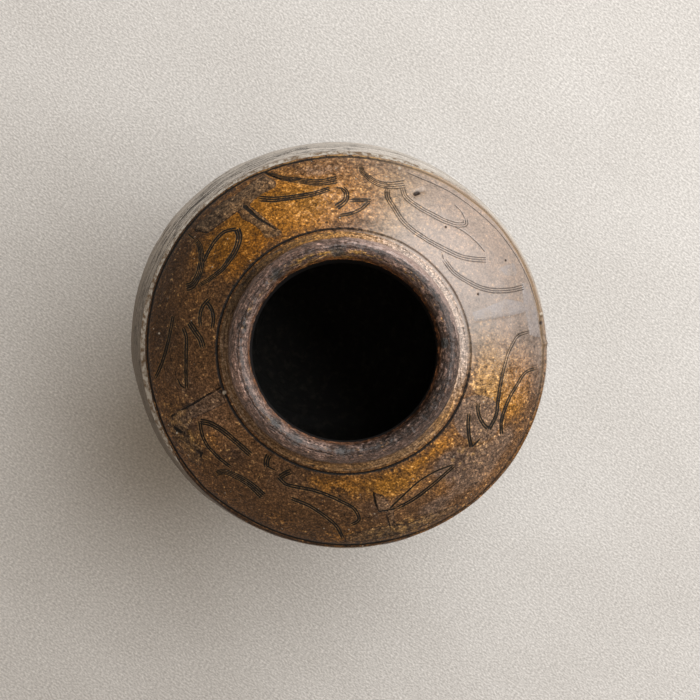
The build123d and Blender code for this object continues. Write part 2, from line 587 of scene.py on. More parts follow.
class CombWork:
    """All the strokes of the comb, and what each vertex near them has to know."""

    reach = 5.0
    margin = 2.6
    refine_margin = 0.9
    clearance = 9.0
    groove_width = 0.42
    sharpness = 1.6
    no_tooth = -9.0

    def __init__(self, strokes: tuple[Stroke, ...]) -> None:
        """Lay out the strokes' paths and sort them into layers that keep clear of each other.

        Args:
            strokes: The strokes.
        """
        self.strokes = strokes
        self.paths = [stroke.path() for stroke in strokes]
        self.layers: list[list[int]] = []
        for index in range(len(strokes)):
            free = next((layer for layer in self.layers if self._clear(index, layer)), None)
            if free is None:
                self.layers.append([index])
            else:
                free.append(index)

    def _clear(self, index: int, layer: list[int]) -> bool:
        """Whether a stroke keeps clear of every stroke of a layer."""
        return all(self._gap(index, other) > self.clearance for other in layer)

    def _gap(self, one: int, other: int) -> float:
        """The least distance between two strokes' middle lines."""
        apart = self.paths[one][:, None, :] - self.paths[other][None, :, :]
        return float(np.sqrt((apart**2).sum(axis=2)).min())

    def read(self, places: Places, usable: np.ndarray) -> tuple[list[np.ndarray], np.ndarray, np.ndarray]:
        """Work out the comb's marks at each vertex.

        Args:
            places: The vertices.
            usable: True for each vertex on the side that is combed.

        Returns:
            For each layer the tooth coordinate, the last tooth and the strength; then the depth of
            the grooves from 0 to 1; then True where the mesh has to be fine.
        """
        count = len(places.radius)
        marks = []
        depth = np.zeros(count)
        fine = np.zeros(count, dtype=bool)
        plan = places.spots[:, :2]
        for layer in self.layers:
            values = np.zeros((count, 3))
            values[:, 0] = self.no_tooth
            nearest = np.full(count, self.reach)
            for index in layer:
                self._read_stroke(index, plan, usable, values, nearest, depth, fine)
            marks.append(values)
        return marks, depth, fine

    def _read_stroke(
        self,
        index: int,
        plan: np.ndarray,
        usable: np.ndarray,
        values: np.ndarray,
        nearest: np.ndarray,
        depth: np.ndarray,
        fine: np.ndarray,
    ) -> None:
        """Write one stroke's marks into the arrays of its layer.

        Args:
            index: Which stroke.
            plan: The vertices' plan positions.
            usable: True for each vertex that may be marked.
            values: The layer's tooth coordinate, last tooth and strength, changed in place.
            nearest: Distance to the nearest stroke's band so far, changed in place.
            depth: Depth of the grooves so far, changed in place.
            fine: Where the mesh has to be fine, changed in place.
        """
        stroke = self.strokes[index]
        path = self.paths[index]
        half_span = (stroke.teeth - 1) * stroke.pitch / 2
        beyond = half_span + self.reach
        low, high = path.min(axis=0) - beyond, path.max(axis=0) + beyond
        boxed = usable & (plan > low).all(axis=1) & (plan < high).all(axis=1)
        near = np.flatnonzero(boxed)
        if not len(near):
            return
        tangent = np.gradient(path, axis=0)
        tangent /= np.linalg.norm(tangent, axis=1)[:, None]
        run = np.concatenate([[0.0], np.cumsum(np.linalg.norm(np.diff(path, axis=0), axis=1))])
        away = plan[near][:, None, :] - path[None, :, :]
        closest = (away**2).sum(axis=2).argmin(axis=1)
        offset_vector = away[np.arange(len(near)), closest]
        ahead = tangent[closest]
        offset = ahead[:, 0] * offset_vector[:, 1] - ahead[:, 1] * offset_vector[:, 0]
        along = run[closest] + (ahead * offset_vector).sum(axis=1)
        share = np.clip(along / run[-1], 0.0, 1.0)
        spread = stroke.spread[0] + (stroke.spread[1] - stroke.spread[0]) * share
        strength = np.minimum(along / stroke.taper[0], (run[-1] - along) / stroke.taper[1])
        strength = np.clip(strength, -1.0, 1.0)
        past_end = np.maximum(0.0, np.maximum(-along, along - run[-1]))
        band = np.maximum(np.abs(offset) - half_span * spread, past_end)
        across = offset / (stroke.pitch * spread) + (stroke.teeth - 1) / 2
        tooth = np.clip(np.rint(across), 0, stroke.teeth - 1)
        from_tooth = np.abs(across - tooth) * stroke.pitch * spread
        cut = np.clip(strength * self.sharpness, 0.0, 1.0)
        groove = np.exp(-((from_tooth / self.groove_width) ** 2)) * cut
        depth[near] = np.maximum(depth[near], groove)
        fine[near] |= (band < self.refine_margin) & (past_end < self.refine_margin)
        closer = band < nearest[near]
        chosen = near[closer]
        nearest[chosen] = band[closer]
        core = band[closer] < self.margin
        values[chosen, 0] = across[closer]
        values[chosen, 1] = stroke.teeth - 1
        values[chosen, 2] = np.where(core, strength[closer], -1.0)


TENDRILS = (
    Stroke(2, ((331, 116), (337, 116), (342, 113.5), (348.5, 112), (355, 113), (361.5, 117), (366, 125),
               (366.5, 133))),
    Stroke(3, ((20.5, 137), (21, 129), (22, 121.5), (23.5, 114.5), (27, 106), (31, 101), (37, 96.5),
               (44, 97))),
    Stroke(1, ((44, 97), (47, 100))),
    Stroke(3, ((34, 121.5), (36, 116), (40, 108.5), (47, 103), (54, 100.5), (61.5, 101), (67, 104.5),
               (71.5, 111), (75, 118.5), (75.5, 123))),
    Stroke(3, ((48.5, 130), (47.5, 127.5), (48.5, 124.5), (52.5, 120), (57, 118.5), (64, 118.5),
               (69.5, 122.5), (71, 127))),
    Stroke(1, ((54, 133.5), (51, 132.5), (48.5, 130))),
    Stroke(1, ((36.5, 124), (41.5, 123.5), (47, 122), (50.5, 120))),
    Stroke(4, ((70.5, 130), (74, 126.5), (78, 125), (82, 128), (84.5, 133), (85, 136.5)), (1.1, 0.5)),
    Stroke(4, ((92, 125), (97, 124), (104.5, 128.5), (109, 133.5), (113, 141.5)), (1.0, 0.4)),
    Stroke(3, ((94.5, 118.5), (101, 116), (107, 117), (114, 120.5), (118.5, 126)), (0.8, 1.0)),
    Stroke(1, ((90, 118.5), (93, 119))),
    Stroke(3, ((90.5, 119), (89, 115.5), (89, 110.5), (92.5, 104.5)), (0.8, 1.1), (2.0, 1.0)),
    Stroke(2, ((80, 111.5), (84, 110.5), (88, 109.5))),
    Stroke(2, ((80.5, 110.5), (83, 104.5), (86.5, 100.5), (91.5, 98.5))),
    Stroke(3, ((130, 115.5), (131, 110.5), (135, 105), (140, 103), (145, 103), (150, 106), (155, 111.5)),
           (1.1, 0.6)),
    Stroke(2, ((130, 115.5), (134, 120), (139, 120), (147, 117.5))),
    Stroke(4, ((142.5, 132.5), (143, 127.5), (145, 122), (148, 118), (152, 115.5), (156, 116.5),
               (157.5, 120)), (0.6, 1.0), (4.0, 1.2)),
    Stroke(1, ((142.5, 140), (142.5, 132.5))),
    Stroke(2, ((158, 100.5), (162, 103), (167, 102.5), (170, 101))),
    Stroke(2, ((159.5, 101.5), (161, 97.5), (165, 93.5), (170, 92.5))),
    Stroke(3, ((169, 110), (172, 104.5), (175, 100), (179, 97.5))),
    Stroke(2, ((171.5, 113.5), (174, 111), (182, 110.5), (188, 112), (194, 114.5))),
    Stroke(1, ((189.5, 119.5), (192, 118), (194, 114.5))),
    Stroke(2, ((168, 123), (175, 124), (181, 127), (186, 132.5), (188.5, 137))),
    Stroke(2, ((206.5, 114), (210, 117), (214, 119), (220, 118.5), (226.5, 117))),
    Stroke(3, ((206.5, 114), (209, 108), (213, 103.5), (220, 100.5), (229, 100))),
    Stroke(4, ((224, 130), (225, 124.5), (229, 120), (235, 118.5), (241, 121.5)), (0.6, 1.0), (4.0, 1.2)),
    Stroke(3, ((234.5, 91.5), (235, 96), (237, 101))),
    Stroke(1, ((236.5, 99.5), (241, 99))),
    Stroke(1, ((236.5, 111.5), (236, 108.5))),
    Stroke(3, ((243, 102.5), (244.5, 98), (246, 95)), (0.9, 1.0), (1.2, 1.2)),
    Stroke(2, ((242.5, 102.5), (246, 105), (251, 104), (256, 103), (262, 104.5), (268, 109), (273, 116),
               (274, 124), (271, 128))),
    Stroke(2, ((250, 114), (256, 115), (262, 120.5), (267, 129.5), (269, 139))),
    Stroke(1, ((282, 119), (287.5, 120))),
    Stroke(2, ((287.5, 120), (294, 117.5), (301, 115), (313, 113))),
    Stroke(1, ((285, 118.5), (291, 112), (299, 107), (306.5, 107.5), (313, 112))),
    Stroke(1, ((322, 112.5), (327, 114))),
    Stroke(2, ((322, 112.5), (325, 106), (329, 100.5), (333.5, 97))),
    Stroke(2, ((331, 115), (332, 110), (335, 103), (339, 100))),
    Stroke(2, ((331.5, 126.5), (335, 122), (341, 120.5), (348.5, 124), (354, 131.5), (355, 138.5))),
    Stroke(1, ((71.5, 139), (55, 140), (36, 142), (13, 143), (3, 143)), (1.0, 1.0), (6.0, 6.0)),
)


@dataclass(frozen=True)
class Patch:
    """A soft patch of colour on the shoulder, placed by azimuth and distance from the axis."""

    azimuth: float
    radius: float
    along: float
    across: float
    amount: float

    def read(self, places: Places) -> np.ndarray:
        """Read the patch.

        Args:
            places: The vertices.

        Returns:
            How strong it is at each.
        """
        around = np.radians(turn_gap(places.azimuth, self.azimuth)) * self.radius / self.along
        out = (places.radius - self.radius) / self.across
        return self.amount * np.exp(-(around**2) - out**2)


class Tones:
    """Where the shoulder's glaze runs amber, dark, ochre and smoky, where light and shade are painted on it,
    and where it is bluer.

    The amounts of the lit and blue patches are powers of e that brightness and blue are
    multiplied by.
    """

    amber = (
        Patch(4, 108, 22, 20, 0.5),
        Patch(90, 112, 45, 25, 0.7),
        Patch(115, 112, 34, 22, 1.1),
        Patch(137, 106, 22, 20, 0.8),
        Patch(146, 128, 14, 8, 0.5),
        Patch(160, 112, 16, 14, 0.45),
        Patch(190, 100, 14, 10, 0.35),
        Patch(215, 112, 14, 9, 0.6),
        Patch(198, 124, 10, 8, 0.5),
        Patch(232, 110, 14, 8, 0.5),
        Patch(248, 130, 16, 9, 0.5),
        Patch(263, 96, 20, 8, 0.5),
        Patch(287, 102, 26, 11, 0.8),
        Patch(310, 95, 24, 6, 0.6),
        Patch(268, 134, 14, 7, 0.5),
        Patch(303, 122, 12, 8, 0.4),
        Patch(318, 134, 12, 8, 0.35),
        Patch(347, 121, 24, 18, 1.1),
    )
    dark = (
        Patch(150, 136, 34, 12, 0.9),
        Patch(158, 100, 26, 14, 0.45),
        Patch(172, 128, 30, 18, 0.9),
        Patch(196, 108, 34, 26, 0.6),
        Patch(225, 108, 10, 7, 0.9),
        Patch(228, 112, 34, 22, 0.4),
        Patch(240, 128, 34, 16, 0.5),
        Patch(262, 124, 24, 12, 0.45),
        Patch(279, 118, 10, 15, 0.6),
        Patch(308, 124, 34, 16, 0.3),
        Patch(333, 103, 15, 15, 0.5),
        Patch(352, 141, 26, 6, 0.6),
    )
    ochre = (
        Patch(75, 122, 44, 20, 0.55),
        Patch(50, 98, 40, 10, 0.35),
        Patch(205, 130, 18, 9, 0.7),
        Patch(214, 126, 12, 8, 0.5),
        Patch(286, 137, 32, 7, 0.95),
        Patch(345, 108, 22, 14, 0.5),
        Patch(322, 116, 22, 14, 0.45),
        Patch(100, 140, 40, 6, 0.3),
        Patch(0, 112, 22, 22, 0.5),
        Patch(351, 101, 17, 11, 0.9),
    )
    washes = (amber, dark, ochre)
    smoky = (
        Patch(312, 108, 15, 9, 0.8),
        Patch(318, 126, 24, 14, 0.9),
        Patch(298, 131, 18, 9, 0.6),
        Patch(332, 131, 12, 9, 0.5),
        Patch(98, 133, 34, 9, 0.5),
        Patch(204, 124, 14, 12, 0.4),
    )
    # Painted light and shade: where the glaze is made lighter or darker.
    lit = (
        Patch(352, 95, 20, 9, 0.30),
        Patch(195, 95, 14, 8, 0.25),
        Patch(217, 105, 18, 8, 0.25),
        Patch(285, 117, 22, 9, 0.26),
        Patch(255, 119, 26, 8, 0.20),
        Patch(240, 105, 12, 8, -0.25),
        Patch(290, 98, 38, 10, -0.16),
        Patch(212, 130, 26, 7, -0.28),
        Patch(120, 129, 14, 6, -0.25),
    )
    blue = (
        Patch(100, 112, 20, 14, 0.35),
        Patch(203, 105, 26, 24, 0.28),
        Patch(248, 100, 26, 12, 0.30),
        Patch(290, 106, 34, 18, 0.33),
        Patch(345, 125, 16, 14, 0.30),
        Patch(0, 98, 22, 12, -0.35),
        Patch(75, 110, 20, 30, -0.40),
        Patch(134, 98, 34, 10, -0.33),
    )

    @staticmethod
    def total(group: tuple[Patch, ...], places: Places) -> np.ndarray:
        """The sum of a group of patches at each vertex."""
        return sum(patch.read(places) for patch in group)


@dataclass(frozen=True)
class Blemish:
    """A small lump or pit on the shoulder, placed by azimuth and distance from the axis, with a painted
    highlight on a lump and painted shade in and beside a hollow.
    """

    azimuth: float
    radius: float
    size: float
    height: float
    # pale is a painted highlight on a lump; dark is a dark spot with painted shade in and beside the hollow.
    pale: float = 0.0
    dark: float = 0.0

    def read(self, places: Places) -> np.ndarray:
        """How near each vertex is to the blemish's middle, from 0 to 1."""
        centre = plan_points(((self.azimuth, self.radius),))[0]
        return np.exp(-(((places.spots[:, :2] - centre) / self.size) ** 2).sum(axis=1))


BLEMISHES = (
    Blemish(66.4, 126.0, 1.5, -1.2, dark=1.0),
    Blemish(65.7, 127.8, 1.6, -1.4, dark=1.0),
    Blemish(64.6, 130.0, 2.0, -1.0, dark=0.45),
    Blemish(199.6, 88.5, 1.7, 1.6, pale=1.2),
    Blemish(198.6, 90.8, 1.6, -0.9, dark=1.3),
    Blemish(200.1, 115.6, 1.8, 1.0),
    Blemish(86.4, 116.1, 1.6, 0.8),
    Blemish(132.0, 138.2, 2.9, 0.5, dark=0.55),
    Blemish(290.9, 91.2, 1.2, -0.5, dark=1.2),
    Blemish(51.9, 116.4, 0.9, -0.5, dark=1.2),
    Blemish(24.6, 103.3, 0.9, -0.5, dark=1.2),
    Blemish(30.4, 133.6, 0.9, -0.5, dark=1.2),
    Blemish(215.0, 127.8, 2.0, -0.5, dark=1.0),
    Blemish(206.6, 133.8, 0.9, 0.6, pale=1.2),
    Blemish(11.2, 144.8, 1.5, 1.3, pale=1.2),
    Blemish(2.4, 145.2, 2.4, 1.3),
    Blemish(8.6, 143.6, 1.6, -0.3, dark=1.0),
    Blemish(73.5, 140.0, 1.6, 0.5, pale=0.8),
    Blemish(163.0, 130.0, 1.1, 0.7, pale=0.5),
    Blemish(174.5, 132.0, 1.0, 0.6, pale=0.9),
)


@dataclass(frozen=True)
class Scar:
    """What a broken lug has left: outlines of its patches, and cracks with their half widths, narrow grooves
    along its edges painted black as shade.
    """

    patches: tuple[PolarPoints, ...]
    cracks: tuple[Track, ...]
    greyness: float

    def read(self, plan: np.ndarray) -> tuple[np.ndarray, np.ndarray]:
        """Read the scar.

        Args:
            plan: The points' plan positions.

        Returns:
            Distances in millimetres to its outline, below zero inside it, and to its cracks.
        """
        edge = np.min([self._signed(plan, patch) for patch in self.patches], axis=0)
        shaded_crack = np.full(len(plan), FAR)
        for track in self.cracks:
            halves = np.array([point[2] for point in track])
            shaded_crack = np.minimum(shaded_crack, gap_to_path(plan, plan_points(track), halves))
        return edge, shaded_crack

    def _signed(self, plan: np.ndarray, corners: PolarPoints) -> np.ndarray:
        """Measure to a polygon's outline.

        Args:
            plan: The points' plan positions.
            corners: The polygon's corners.

        Returns:
            The distances, below zero inside it.
        """
        shape = plan_points(corners + corners[:1])
        distance = gap_to_path(plan, shape, np.zeros(len(shape)))
        inside = np.zeros(len(plan), dtype=bool)
        for start, end in zip(shape, shape[1:]):
            spans = (start[1] > plan[:, 1]) != (end[1] > plan[:, 1])
            rise = end[1] - start[1]
            if rise:
                cross_x = start[0] + (plan[:, 1] - start[1]) * (end[0] - start[0]) / rise
                inside ^= spans & (plan[:, 0] < cross_x)
        return np.where(inside, -distance, distance)


SCARS = (
    Scar(
        (
            ((114, 141), (111, 131), (112, 128.5), (119, 127.5), (122.5, 124.5), (126.5, 125.5),
             (133, 126.5), (138.5, 128), (140, 138), (139, 139), (135, 137), (129, 138.5),
             (124, 136.5), (118.5, 138.5)),
            ((126, 126), (122, 124.5), (116, 95), (119, 94.5), (123.5, 97.5), (123, 104), (124.5, 112),
             (126.5, 119.5)),
        ),
        (
            ((123.5, 125.5, 1.5), (122, 114.5, 0.9), (119, 103.5, 0.5), (116.5, 95, 0.1)),
            ((140.5, 138.5, 0.5), (138.5, 129, 0.3), (137.5, 128.5, 0.2)),
            ((113.5, 142.5, 0.7), (112, 138.5, 0.4), (109, 132, 0.0)),
        ),
        0.75,
    ),
    Scar(
        (
            ((201, 132.5), (202, 117), (205, 118), (207.5, 126.5), (210.5, 127), (215, 123.5),
             (219.5, 133.5), (216, 137), (209, 138), (205, 138.5)),
            ((200, 128), (199, 110), (197.5, 91), (204, 90), (204.5, 104), (204.5, 115), (202.5, 128)),
        ),
        (
            ((197, 90, 0.2), (198, 99, 0.6), (200, 115, 0.7), (200.5, 127, 0.4), (201, 132.5, 0.8)),
            ((204.5, 115, 0.0), (204.5, 104, 0.25), (204, 90, 0.1)),
            ((204, 134.5, 0.6), (206, 132.5, 1.4), (208, 128, 0.4)),
            ((215, 128, 0.8), (216, 126.5, 1.1), (217.5, 131, 0.4), (218.5, 135, 0.0)),
        ),
        0.12,
    ),
    Scar(
        (
            ((269.5, 136), (274.5, 133), (278.5, 131), (283.5, 131.5), (289.5, 134.5), (299.5, 135.5),
             (305.5, 138.5), (305, 141.5), (298, 142), (288.5, 141.5), (283, 141), (274.5, 141.5),
             (269.5, 142)),
            ((280.5, 103.5), (284, 107.5), (286, 120.5), (285, 141), (282.5, 141), (283.5, 120.5),
             (281, 119.5)),
        ),
        (
            ((280.5, 103.5, 0.4), (280.5, 112, 0.6), (281, 119, 0.5), (285, 120, 0.2)),
            ((284, 120, 0.5), (283.5, 128.5, 0.4), (283, 141.5, 0.8)),
            ((286, 122, 0.1), (285, 130, 0.3), (284.5, 140.5, 0.4)),
        ),
        0.15,
    ),
    Scar(
        (
            ((22, 137), (20.5, 141), (12.5, 141), (4.5, 141), (5.5, 133.5), (14, 132.5)),
            ((18, 94), (18.5, 104), (19, 121), (16, 133), (13, 132), (13.5, 111), (14, 94)),
            ((29.5, 126.5), (28.5, 138), (24.5, 136), (26, 128)),
        ),
        (),
        1.0,
    ),
)


class Value:
    """A socket of a shader that Python's operators act on, each adding its Math node."""

    def __init__(self, shader: "Shader", socket: bpy.types.NodeSocket) -> None:
        """Wrap a socket of a shader."""
        self.shader = shader
        self.socket = socket

    def __add__(self, other: "Value | float") -> "Value":
        """Sum."""
        return self.shader.math("ADD", self, other)

    def __radd__(self, other: float) -> "Value":
        """Sum with a number on the left."""
        return self.shader.math("ADD", other, self)

    def __sub__(self, other: "Value | float") -> "Value":
        """Difference."""
        return self.shader.math("SUBTRACT", self, other)

    def __rsub__(self, other: float) -> "Value":
        """Difference from a number on the left."""
        return self.shader.math("SUBTRACT", other, self)

    def __mul__(self, other: "Value | float") -> "Value":
        """Product."""
        return self.shader.math("MULTIPLY", self, other)

    def __rmul__(self, other: float) -> "Value":
        """Product with a number on the left."""
        return self.shader.math("MULTIPLY", other, self)

    def __abs__(self) -> "Value":
        """Size without sign."""
        return self.shader.math("ABSOLUTE", self)


Feed = Value | float | tuple[float, ...]


class Shader:
    """A material under construction."""

    swing_span = 4.5
    crest_pull = 0.8

    def __init__(self, name: str, ground: Colour) -> None:
        """Start a material with a surface shader and its output.

        Args:
            name: The material's name.
            ground: The colour that all others are laid over.
        """
        self.colour: Feed = ground
        self.material = bpy.data.materials.new(name)
        self.material.use_nodes = True
        self.tree = self.material.node_tree
        self.tree.nodes.clear()
        self.surface = self.tree.nodes.new("ShaderNodeBsdfPrincipled")
        output = self.tree.nodes.new("ShaderNodeOutputMaterial")
        self.tree.links.new(self.surface.outputs["BSDF"], output.inputs["Surface"])

    def feed(self, socket: bpy.types.NodeSocket, value: Feed) -> None:
        """Link a value to a socket, or set the socket to it.

        Args:
            socket: The socket.
            value: The value.
        """
        if isinstance(value, Value):
            self.tree.links.new(value.socket, socket)
        else:
            socket.default_value = value

    def node(
        self, kind: str, settings: dict | None = None, feeds: dict | None = None, out: int | str = 0
    ) -> Value:
        """Add a node.

        Args:
            kind: The node's type.
            settings: Its own settings, set first.
            feeds: Values or links of its inputs, by name or number.
            out: Which output is wanted.

        Returns:
            The wanted output.
        """
        made = self.tree.nodes.new(kind)
        for name, value in (settings or {}).items():
            setattr(made, name, value)
        for key, value in (feeds or {}).items():
            self.feed(made.inputs[key], value)
        return Value(self, made.outputs[out])

    def math(self, operation: str, *values: "Value | float") -> Value:
        """Add a Math node for an operation on one or more values."""
        return self.node("ShaderNodeMath", {"operation": operation}, dict(enumerate(values)))

    def vector(self, operation: str, *values: Feed, out: int | str = 0) -> Value:
        """Add a Vector Math node for an operation on vectors."""
        return self.node("ShaderNodeVectorMath", {"operation": operation}, dict(enumerate(values)), out)

    def rise(self, value: Value, low: float, high: float) -> Value:
        """A soft rise from 0 at low to 1 at high, or a fall where low is the larger."""
        feeds = {0: value, 1: min(low, high), 2: max(low, high), 3: float(low > high), 4: float(low < high)}
        return self.node("ShaderNodeMapRange", {"interpolation_type": "SMOOTHSTEP"}, feeds)

    def blend(self, share: "Value | float", first: Feed, second: Feed) -> Value:
        """Mix two colours."""
        feeds = {0: share, 6: self._opaque(first), 7: self._opaque(second)}
        return self.node("ShaderNodeMix", {"data_type": "RGBA"}, feeds, 2)

    def lay(self, colour: Feed, share: "Value | float") -> None:
        """Lay a share of another colour over the surface's own."""
        self.colour = self.blend(share, self.colour, colour)

    def grain(self, pattern: Value, contrast: float) -> None:
        """Light up and darken the surface's colour by a pattern."""
        self.colour = self.grained(self.colour, pattern, contrast)

    @staticmethod
    def _opaque(colour: Feed) -> Feed:
        """A colour with the fourth channel that a Mix node takes."""
        return colour if isinstance(colour, Value) else (*colour, 1.0)

    def mark(self, name: str) -> Value:
        """Three values that the mesh carries, as a vector."""
        return self.node("ShaderNodeAttribute", {"attribute_name": str(name)}, out="Vector")

    def split(self, vector: Value) -> tuple[Value, Value, Value]:
        """Split a vector.

        Args:
            vector: The vector.

        Returns:
            Its three parts.
        """
        first = self.node("ShaderNodeSeparateXYZ", feeds={0: vector})
        outputs = first.socket.node.outputs
        return first, Value(self, outputs[1]), Value(self, outputs[2])

    def noise(self, place: Value, size: float, detail: float = 3.0, rough: float = 0.6) -> Value:
        """Soft noise from 0 to 1 with features of a size in millimetres."""
        feeds = {"Vector": place, "Scale": 1.0 / size, "Detail": detail, "Roughness": rough}
        return self.node("ShaderNodeTexNoise", feeds=feeds)

    def swing(self, place: Value, size: float, detail: float = 3.0, rough: float = 0.6) -> Value:
        """Noise that swings round 0, mostly between -1 and 1."""
        return (self.noise(place, size, detail, rough) - 0.5) * self.swing_span

    def swings(self, place: Value, patterns: Track) -> list[Value]:
        """Noise patterns that swing round 0, each from its size in millimetres, detail and roughness."""
        return [self.swing(place, *pattern) for pattern in patterns]

    def streaks(self, place: Value, patterns: Streaks, crest: float = 0.0) -> list[Value]:
        """Patterns drawn out along the jar's turn, for streaks left by the wheel.

        Args:
            place: Where the surface is, in millimetres.
            patterns: For each its scale along the turn and across it, its detail and roughness.
            crest: Radius of a roll's crest, where the surface turns to slope the other way.

        Returns:
            The patterns, which swing round 0.
        """
        made = []
        for around, out, detail, rough in patterns:
            made.append(self.swing(self.stretched(place, around, out, crest), 1.0, detail, rough))
        return made

    def cells(self, place: Value, size: float) -> Value:
        """Distance to the nearest of scattered points, as a share of their spacing in millimetres."""
        feeds = {"Vector": place, "Scale": 1.0 / size}
        return self.node("ShaderNodeTexVoronoi", feeds=feeds, out="Distance")

    def stretched(self, place: Value, around: float, out: float, crest: float = 0.0) -> Value:
        """Places drawn out along the jar's turn, for streaks left by the wheel.

        Args:
            place: Where the surface is, in millimetres.
            around: Scale along the turn.
            out: Scale across it, in height and in distance from the axis.
            crest: Radius of a roll's crest, where the surface turns to slope the other way.

        Returns:
            The places to read a pattern at.
        """
        flat = self.vector("MULTIPLY", place, (1.0, 1.0, 0.0))
        radius = self.vector("LENGTH", flat, out="Value")
        x, y, _ = self.split(self.scaled(self.vector("NORMALIZE", flat), around))
        height = self.split(place)[2]
        across = abs(radius - crest) * self.crest_pull + radius * (1.0 - self.crest_pull) - height
        return self.node("ShaderNodeCombineXYZ", feeds={0: x, 1: y, 2: across * out})

    def scaled(self, vector: Value, factor: "Value | float") -> Value:
        """A vector or a colour multiplied by a number."""
        return self.node("ShaderNodeVectorMath", {"operation": "SCALE"}, {0: vector, "Scale": factor})

    def grained(self, colour: Value, pattern: Value, contrast: float) -> Value:
        """A colour lit up and darkened by a pattern that swings round 0, by powers of a contrast."""
        return self.scaled(colour, self.math("POWER", contrast, pattern))

    def spot(self, place: Value, centre: tuple[float, float, float], radius: float, soft: float) -> Value:
        """1 within a radius of a point and 0 outside, with a soft edge, all in millimetres."""
        distance = self.vector("DISTANCE", place, centre, out="Value")
        return self.rise(distance, radius + soft, radius - soft)

    def bump(self, height: Value) -> Value:
        """Turn heights in millimetres into a normal."""
        return self.node("ShaderNodeBump", feeds={"Height": height, "Distance": MM})

    def wear(self, **feeds: Feed) -> Material:
        """Set the surface shader's inputs.

        Args:
            feeds: Their values by name, with underscores for spaces.

        Returns:
            The material.
        """
        for name, value in feeds.items():
            self.feed(self.surface.inputs[name.replace("_", " ")], value)
        return self.material


